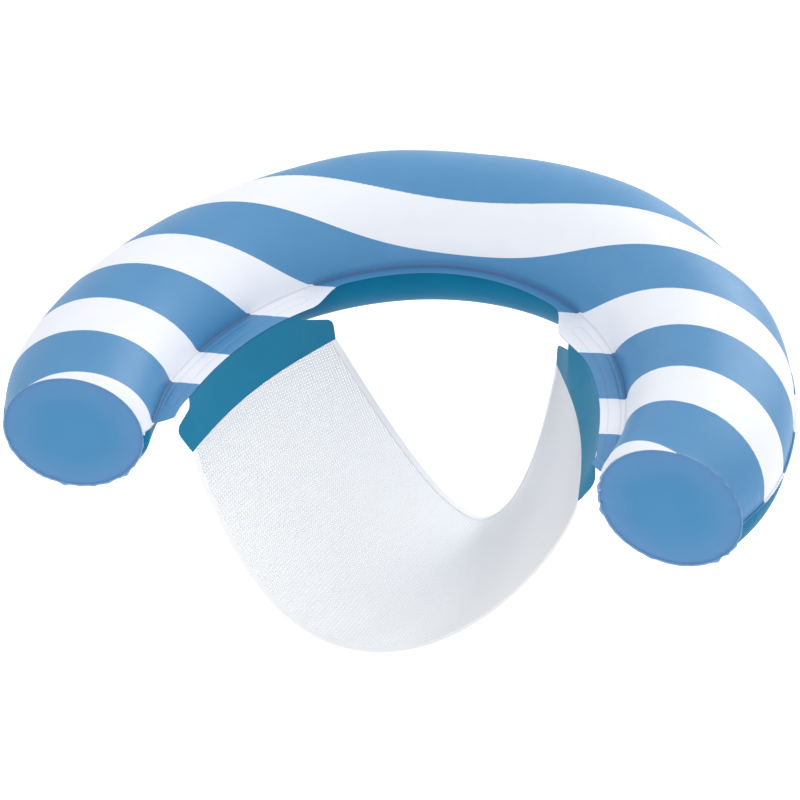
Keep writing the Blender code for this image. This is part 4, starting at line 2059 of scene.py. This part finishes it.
@dataclass(frozen=True)
class Studio:
    """A plain pale floor, a white surround, soft lamps and the camera."""

    floor_drop: float = 0.80
    floor_half: float = 14
    floor_colour: str = "#F6F7F9"
    floor_deep: str = "#F3F4F7"
    floor_grain: float = 3.0
    floor_roughness: float = 0.9
    seen_glow: float = 0.35
    surround: float = 0.86
    aim: tuple[float, float, float] = (0, 0.15, -0.1)
    lamps: tuple[Lamp, ...] = (
        Lamp("key_lamp", (-2.3, -2.0, 1.9), 2.2, 10),
        Lamp("top_lamp", (0.6, 0.4, 3.0), 2.6, 6),
        Lamp("front_lamp", (0.2, -3.1, 0.6), 2.0, 9),
        Lamp("rear_lamp", (1.3, 2.6, 1.3), 2.2, 36),
        Lamp("low_lamp", (1.7, -0.6, -0.85), 0.8, 4.5),
    )
    azimuth: float = math.radians(17.9992)
    elevation: float = math.radians(34.7653)
    roll: float = math.radians(-3.6792)
    away: float = 3.526
    aside: float = 0.018696
    up: float = 0.024099
    focal_px: float = 2616.6
    frame_px: float = 800
    sensor: float = 36.0
    clip: tuple[float, float] = (0.05, 50)

    def build_camera(self) -> None:
        """Adds the camera at the photograph's place, turn and field of view."""
        a, e, r = self.azimuth, self.elevation, self.roll
        back = Vector((math.sin(a) * math.cos(e), -math.cos(a) * math.cos(e), math.sin(e)))
        right = Vector((math.cos(a), math.sin(a), 0))
        upward = back.cross(right)
        place = back * self.away + right * self.aside + upward * self.up
        tilted_right = right * math.cos(r) + upward * math.sin(r)
        tilted_up = upward * math.cos(r) - right * math.sin(r)
        data = bpy.data.cameras.new("camera")
        data.sensor_width = self.sensor
        data.lens = self.focal_px / self.frame_px * self.sensor
        data.clip_start, data.clip_end = self.clip
        camera = bpy.data.objects.new("camera", data)
        turn = Matrix((tilted_right, tilted_up, back)).transposed().to_4x4()
        camera.matrix_world = Matrix.Translation(place) @ turn
        bpy.context.scene.collection.objects.link(camera)
        bpy.context.scene.camera = camera

    def build_lamps(self) -> None:
        """Adds the soft lamps, each turned to the middle of the chair."""
        for lamp in self.lamps:
            data = bpy.data.lights.new(lamp.name, "AREA")
            data.shape, data.size, data.energy = "SQUARE", lamp.size, lamp.power
            made = bpy.data.objects.new(lamp.name, data)
            made.location = lamp.place
            towards = Vector(self.aim) - Vector(lamp.place)
            made.rotation_euler = towards.to_track_quat("-Z", "Y").to_euler()
            bpy.context.scene.collection.objects.link(made)

    def build_surround(self) -> None:
        """Gives the world a plain light, and a white that the camera and mirrors see."""
        world = bpy.data.worlds.new("surround")
        bpy.context.scene.world = world
        world.use_nodes = True
        tree = world.node_tree
        ends = {"To Min": self.surround, "To Max": 1.0}
        strength = add_node(tree, "ShaderNodeMapRange", {"Value": self.seen_ray(tree), **ends})
        light = {"Color": (1, 1, 1, 1), "Strength": strength.outputs["Result"]}
        set_inputs(tree, tree.nodes["Background"], light)

    def seen_ray(self, tree: NodeTree) -> NodeSocket:
        """Finds the rays that show the surround itself.

        Args:
            tree: the nodes.

        Returns:
            1 for the camera's rays, mirrored ones and those through glass, and otherwise 0.
        """
        path = add_node(tree, "ShaderNodeLightPath").outputs
        seen = path["Is Camera Ray"]
        for other in ("Is Glossy Ray", "Is Transmission Ray"):
            either = {0: seen, 1: path[other]}
            seen = add_node(tree, "ShaderNodeMath", either, operation="MAXIMUM").outputs[0]
        return seen

    def build_floor(self) -> None:
        """Adds the floor, which looks white to the camera and still takes the chair's shadow."""
        bm = bmesh.new()
        bmesh.ops.create_grid(bm, x_segments=1, y_segments=1, size=self.floor_half)
        bmesh.ops.translate(bm, verts=bm.verts[:], vec=(0, 0, CAD_LOW.z - self.floor_drop))
        mesh = bpy.data.meshes.new("floor")
        bm.to_mesh(mesh)
        bm.free()
        material, tree, shader = new_material("floor_paper_matt")
        place = add_node(tree, "ShaderNodeTexCoord").outputs["Object"]
        pattern = {"Vector": place, "Scale": self.floor_grain}
        grain = add_node(tree, "ShaderNodeTexNoise", pattern).outputs["Fac"]
        seen = {0: self.seen_ray(tree), 1: self.seen_glow}
        glow = add_node(tree, "ShaderNodeMath", seen, operation="MULTIPLY").outputs[0]
        finish = {
            "Base Color": blended(tree, grain, self.floor_colour, self.floor_deep),
            "Roughness": self.floor_roughness,
            "Emission Color": (1, 1, 1, 1),
            "Emission Strength": glow,
        }
        set_inputs(tree, shader, finish)
        mesh.materials.append(material)
        floor = bpy.data.objects.new("floor", mesh)
        bpy.context.scene.collection.objects.link(floor)

    def build(self) -> None:
        """Builds the studio."""
        self.build_camera()
        self.build_lamps()
        self.build_surround()
        self.build_floor()
        bpy.context.scene.view_settings.view_transform = "Standard"


def main() -> None:
    """Builds the studio and dresses the chair."""
    logging.basicConfig(level=logging.INFO, format="%(message)s")
    Studio().build()
    plan = TubePlan()
    teal = TEAL_PANEL.make()
    AirTube(plan, StripedFilm().make(), teal, DiscFilm().make()).build()
    header = SeatHeader(plan, TEAL_STRIP.make())
    header.build()
    MeshSling(header, OpenMesh().make(), BindingTape().make()).build()
    AirValve(SoftMoulding().make()).build()


if __name__ == "__main__":
    main()
